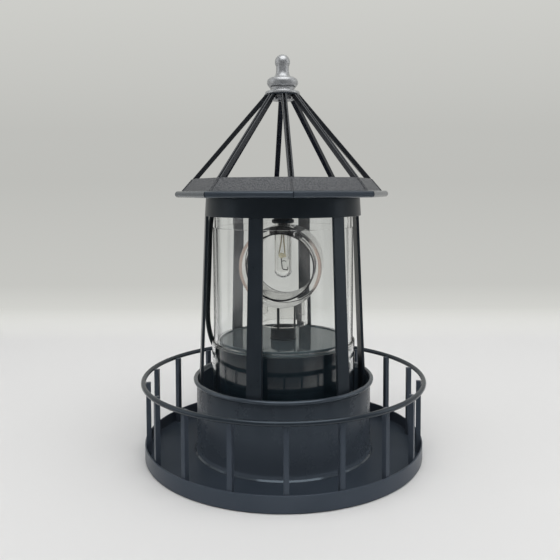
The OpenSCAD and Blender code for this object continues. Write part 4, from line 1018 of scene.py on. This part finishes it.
def dome(radius, z, rise, steps=12):
    """Half of a flattened dome that hangs down, from the middle to the side."""
    angles = [math.pi / 2 * k / steps for k in range(steps + 1)]
    return [(radius * math.sin(a), z - rise * math.cos(a)) for a in angles]


capsule = turned(
    "bulb_capsule", dome(4.5, BULB_LOW + 4.1, 3.8)
    + soft([(4.5, 120), (4.5, 121.4, 0.1), (4.1, 121.4, 0.1), (4.1, 120)])
    + dome(4.1, BULB_LOW + 4.5, 3.5)[::-1], 64)
piece(capsule, bulb_glass, "bulb_glass", "bulb_glass")

bm = bmesh.new()
bmesh.ops.create_icosphere(bm, subdivisions=2, radius=1)
for k, v in enumerate(bm.verts):
    swell = 1 + 0.30 * math.sin(k * 2.3) + 0.16 * math.cos(k * 5.1)
    v.co = Vector((v.co.x * 2.1 * swell - 0.4, v.co.y * 1.4, v.co.z * 1.25 * swell + 104.2 - v.co.x * 0.3)) * MM
crystal = new_object("bulb_wires", bm)
WIRES = [
    (0.34, 10, pale_brass, [(-0.4, 119), (-0.9, 112), (-1.7, 107.4), (-2.2, 105.2)]),
    (0.34, 10, pale_brass, [(0.2, 119), (0.45, 112), (1.0, 105.2)]),
    (0.25, 10, dark_wire, [(-1.0, 103.6), (-0.8, 100.5), (-0.4, 97.5), (0, 96.9), (0.7, 96.7), (2.0, 96.5),
                           (2.5, 96.9), (2.6, 98.2)]),
    (0.18, 8, dark_wire, [(-0.8, 101.0), (0.5, 101.5), (1.6, 100.8)]),
    (0.16, 8, dark_wire, [(2.2, 119), (2.7, 116), (2.7, 102.0)]),
]
more = [bar_on("wire", [(x, 0, z) for x, z in line], radius, sides, finish) for radius, sides, finish, line in WIRES]
crystal.data.materials.append(pale_crystal)
wires = carved(crystal, *more, operation="UNION")
piece(wires, None, "brass", "bulb_leads", angle=50)

# %% [markdown]
# ## Pieces that keep the solid's shape
# The housing, the movement, the board and the small hardware are right as the solid model has them. Their meshes
# are loose triangles, so a copy is taken, its corners are merged, and the smooth faces are shaded smooth. Each copy
# then gets a finish of its own.
# %% More finishes
white = Finish("white_gear_plastic", Specular_IOR_Level=0.5)
cloud = white.noise(160, 2)
white.feed("Base Color", white.blend(cloud, (0.78, 0.76, 0.70), (0.70, 0.68, 0.62)))
white.feed("Roughness", cloud * 0.1 + 0.38)
white.relief(white.noise(1500, 2), 0.00001, 0.4)


def plated(name, rough, clouds, spread, **constants):
    """A smooth finish whose colour is fed later."""
    finish = Finish(name, Specular_IOR_Level=0.5, **constants)
    finish.feed("Roughness", finish.noise(clouds, 2) * spread + rough)
    return finish


def bricks(finish, offset, scale, gap, other, width, height):
    """Black and nearly black bricks with white gaps."""
    return finish.node("ShaderNodeTexBrick", {"offset": offset}, {
        "Vector": finish.point, "Scale": scale, "Mortar Size": gap, "Color1": (0, 0, 0), "Color2": (other,) * 3,
        "Mortar": (1, 1, 1), "Brick Width": width, "Row Height": height}).outputs


board = plated("board_lacquer", 0.22, 90, 0.12)
tracks = bricks(board, 0.5, 260, 0.09, 0.1, 0.9, 0.35)[0]
board.feed("Base Color", board.blend(tracks, (0.012, 0.10, 0.035), (0.03, 0.19, 0.07)))

sleeve = plated("battery_sleeve", 0.26, 120, 0.1)
band = sleeve.along("X").clipped(0.0125, 0.0128)
sleeve.feed("Base Color", sleeve.blend(band, (0.02, 0.16, 0.10), (0.55, 0.55, 0.52)))

cells = plated("solar_cells", 0.2, 60, 0.1, Coat_Weight=0.6, Coat_Roughness=0.06)
lines = bricks(cells, 0.0, 100, 0.012, 0.25, 2.6, 0.26)["Fac"]
flakes = cells.node("ShaderNodeTexVoronoi", None, {"Vector": cells.point, "Scale": 420.0}).outputs["Distance"]
flakes = cells.blend(flakes, (0.006, 0.012, 0.055), (0.012, 0.028, 0.11))
cells.feed("Base Color", cells.blend(lines, flakes, (0.42, 0.44, 0.47)))
print("made four more finishes")

# %% Copies of solids with their finishes
def dressed(node, name, material, slot, body):
    """A merged, smoothly shaded copy of a solid."""
    bm = bmesh.new()
    bm.from_mesh(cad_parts[node].data)
    bmesh.ops.remove_doubles(bm, verts=bm.verts, dist=1e-6)
    bmesh.ops.dissolve_degenerate(bm, edges=bm.edges, dist=1e-7)
    return piece(new_object(name, bm), material, slot, node, body=body, angle=30)


COPIES = [
    (satin_plastic, "black_plastic", "lantern", {"housing_cup": "housing_shell"}),
    (dull_plastic, "black_plastic", "lantern", {
        "battery_door": "battery_cover", "panel_tray": "panel_holder", "switch_body": "switch_case"}),
    (white.material, "white_plastic", "switch", {"switch_slider": "switch_tab"}),
    (cells.material, "panel_blue", "lantern", {"solar_panel": "solar_cell_plate"}),
    (board.material, "board_green", "lantern", {"circuit_board": "control_board"}),
    (sleeve.material, "battery_wrap", "lantern", {"battery": "battery_cell"}),
    (zinc_steel, "steel", "lantern", {"spring_contact": "battery_spring", "button_contact": "battery_plate"}),
    (motor_steel, "steel", "lantern", {"movement_plate": "movement_base", "motor": "motor_can"}),
    (zinc_steel, "steel", "motor_rotor", {"motor_shaft": "motor_rod"}),
    (brass, "brass", "motor_rotor", {"motor_pinion": "motor_teeth"}),
    (zinc_steel, "steel", "lantern", {"idler_pin": "idler_rod"}),
    (white.material, "white_plastic", "idler", {"idler_gear": "idler_wheel"}),
    (zinc_steel, "steel", "lens_rotor", {"output_shaft": "lens_rod"}),
    (white.material, "white_plastic", "lens_rotor", {"output_gear": "lens_wheel"}),
    (brass, "brass", "lantern", {"deck_bush": "bush_ring"}),
    (zinc_steel, "steel", "lantern", {
        "finial_screw": "finial_stud", "drum_screws": "drum_fasteners", "housing_screws": "housing_fasteners",
        "door_screw": "door_fastener", "board_screws": "board_fasteners",
        "movement_screws": "movement_fasteners", "roof_screws": "roof_fasteners"}),
]
for material, slot_name, body, names in COPIES:
    for node, name in names.items():
        dressed(node, name, material, slot_name, body)

# %% [markdown]
# ## Stage
# The lantern stands on a pale sheet that curves up behind it. The sheet is one mesh with a soft bend. Its wall
# shows the photograph's quiet grey, which is a colour given to camera, mirror and glass rays, and its floor is
# plain matt, so that it keeps the shadow. The photographer's side of the room was darker: mirror rays that meet
# the floor some way in front of the lantern find it dim, as the black paint and the deck show.
# %% Floor and backdrop
def backdrop():
    bm = bmesh.new()
    rows = [(-3.0, 0.0), (0.27, 0.0)]
    rows += [(0.27 + 0.30 * math.sin(a), 0.30 - 0.30 * math.cos(a)) for a in
             [math.radians(5 * k) for k in range(1, 19)]]
    rows += [(0.57, 3.0)]
    rows = [(y, z - 0.0001) for y, z in rows]
    lines = [[bm.verts.new((x, y, z)) for x in (-3.0, 3.0)] for y, z in rows]
    for a, b in zip(lines, lines[1:]):
        bm.faces.new((a[0], a[1], b[1], b[0]))
    return new_object("paper_sweep", bm)


sweep = backdrop()
shade(sweep.data, 30)
paper = Finish("paper", Roughness=0.9, Specular_IOR_Level=0.2)
across, depth = paper.along("X"), paper.along("Y")
wall = paper.node("ShaderNodeValToRGB", None, {0: paper.along("Z").clipped(0.0, 0.4)})
WALL_GREYS = [(0.0, 0.79), (0.03, 0.64), (0.075, 0.565), (0.16, 0.55), (0.38, 0.512), (0.56, 0.52), (0.74, 0.56),
              (1.0, 0.61)]
stops = wall.color_ramp.elements
for k, (place, value) in enumerate(WALL_GREYS):
    stop = stops[k] if k < 2 else stops.new(place)
    stop.position, stop.color = place, (value, value * 1.003, value * 0.958, 1)
pale = paper.blend(depth.clipped(-0.4, 0.3), (0.80, 0.795, 0.785), (0.78, 0.775, 0.765))
sideways = across * across
in_front = (0 - depth).clipped(0.12, 0.18) * (1 - sideways.clipped(0.07 ** 2, 0.13 ** 2))
away = ((sideways + depth * depth).clipped(0.16 ** 2, 0.27 ** 2) + in_front * 0.75).clipped(0, 1)
mirrored = paper.ray("Glossy Depth").clipped(0, 1)
gloom = mirrored * away * (1 - sideways.clipped(0.35 ** 2, 0.5 ** 2)) * (1 - depth.clipped(0.0, 0.2))
paper.feed("Base Color", paper.blend(gloom, pale, (0.17, 0.172, 0.178)))
seen = (paper.ray("Is Camera Ray") + paper.ray("Is Glossy Ray") + paper.ray("Is Transmission Ray")).clipped(0, 1)
glow = paper.node("ShaderNodeEmission", None, {"Color": wall.outputs[0]})
paper.show(paper.mixed(seen * depth.clipped(0.25, 0.35), paper.surface, glow))
sweep.data.materials.append(paper.material)
print("sweep:", len(sweep.data.polygons), "faces")

# %% [markdown]
# ## Light
# The light is that of a light tent that is open at the front: a pale world behind and above, a dim one in front,
# one large soft panel above, and two weaker ones at the sides. Their strengths are set so that a matt surface
# facing up renders about in the colour that it was given. Camera rays and rays through glass see a plain pale
# world, so the lantern has a quiet background from every side.
# %% Lamps and world
def soft_panel(name, place, target, size, power):
    data = bpy.data.lights.new(name, "AREA")
    data.shape, data.size, data.size_y = "RECTANGLE", size[0], size[1]
    data.energy = power
    lamp = bpy.data.objects.new(name, data)
    scene.collection.objects.link(lamp)
    aim = (Vector(target) - Vector(place)).to_track_quat("-Z", "Y")
    lamp.matrix_world = Matrix.Translation(place) @ aim.to_matrix().to_4x4()


soft_panel("panel_above", (0.1, -0.42, 1.2), (0, 0, 0.05), (1.3, 1.2), 11.5)
soft_panel("panel_left", (-0.95, -0.15, 0.45), (0, 0, 0.1), (0.5, 0.8), 0.95)
soft_panel("panel_right", (0.95, -0.05, 0.45), (0, 0, 0.1), (0.4, 0.8), 0.9)
world = bpy.data.worlds.new("light_tent")
world.use_nodes = True
room = Nodes(world.node_tree, "Generated")
open_side = room.along("Y").clipped(-0.85, 0.1).larger(room.along("Z").clipped(0.25, 0.7))
tent = room.tree.nodes["Background"]
room.link(room.blend(open_side, (0.16, 0.17, 0.19), (0.96, 0.98, 1.0)), tent.inputs["Color"])
room.link(0.45, tent.inputs["Strength"])
plain = room.node("ShaderNodeBackground", None, {"Color": (0.56, 0.56, 0.54)})
straight = room.ray("Is Camera Ray").larger(room.ray("Is Transmission Ray"))
room.link(room.mixed(straight, tent, plain), room.tree.nodes["World Output"].inputs["Surface"])
scene.world = world
print("three panels and the world")
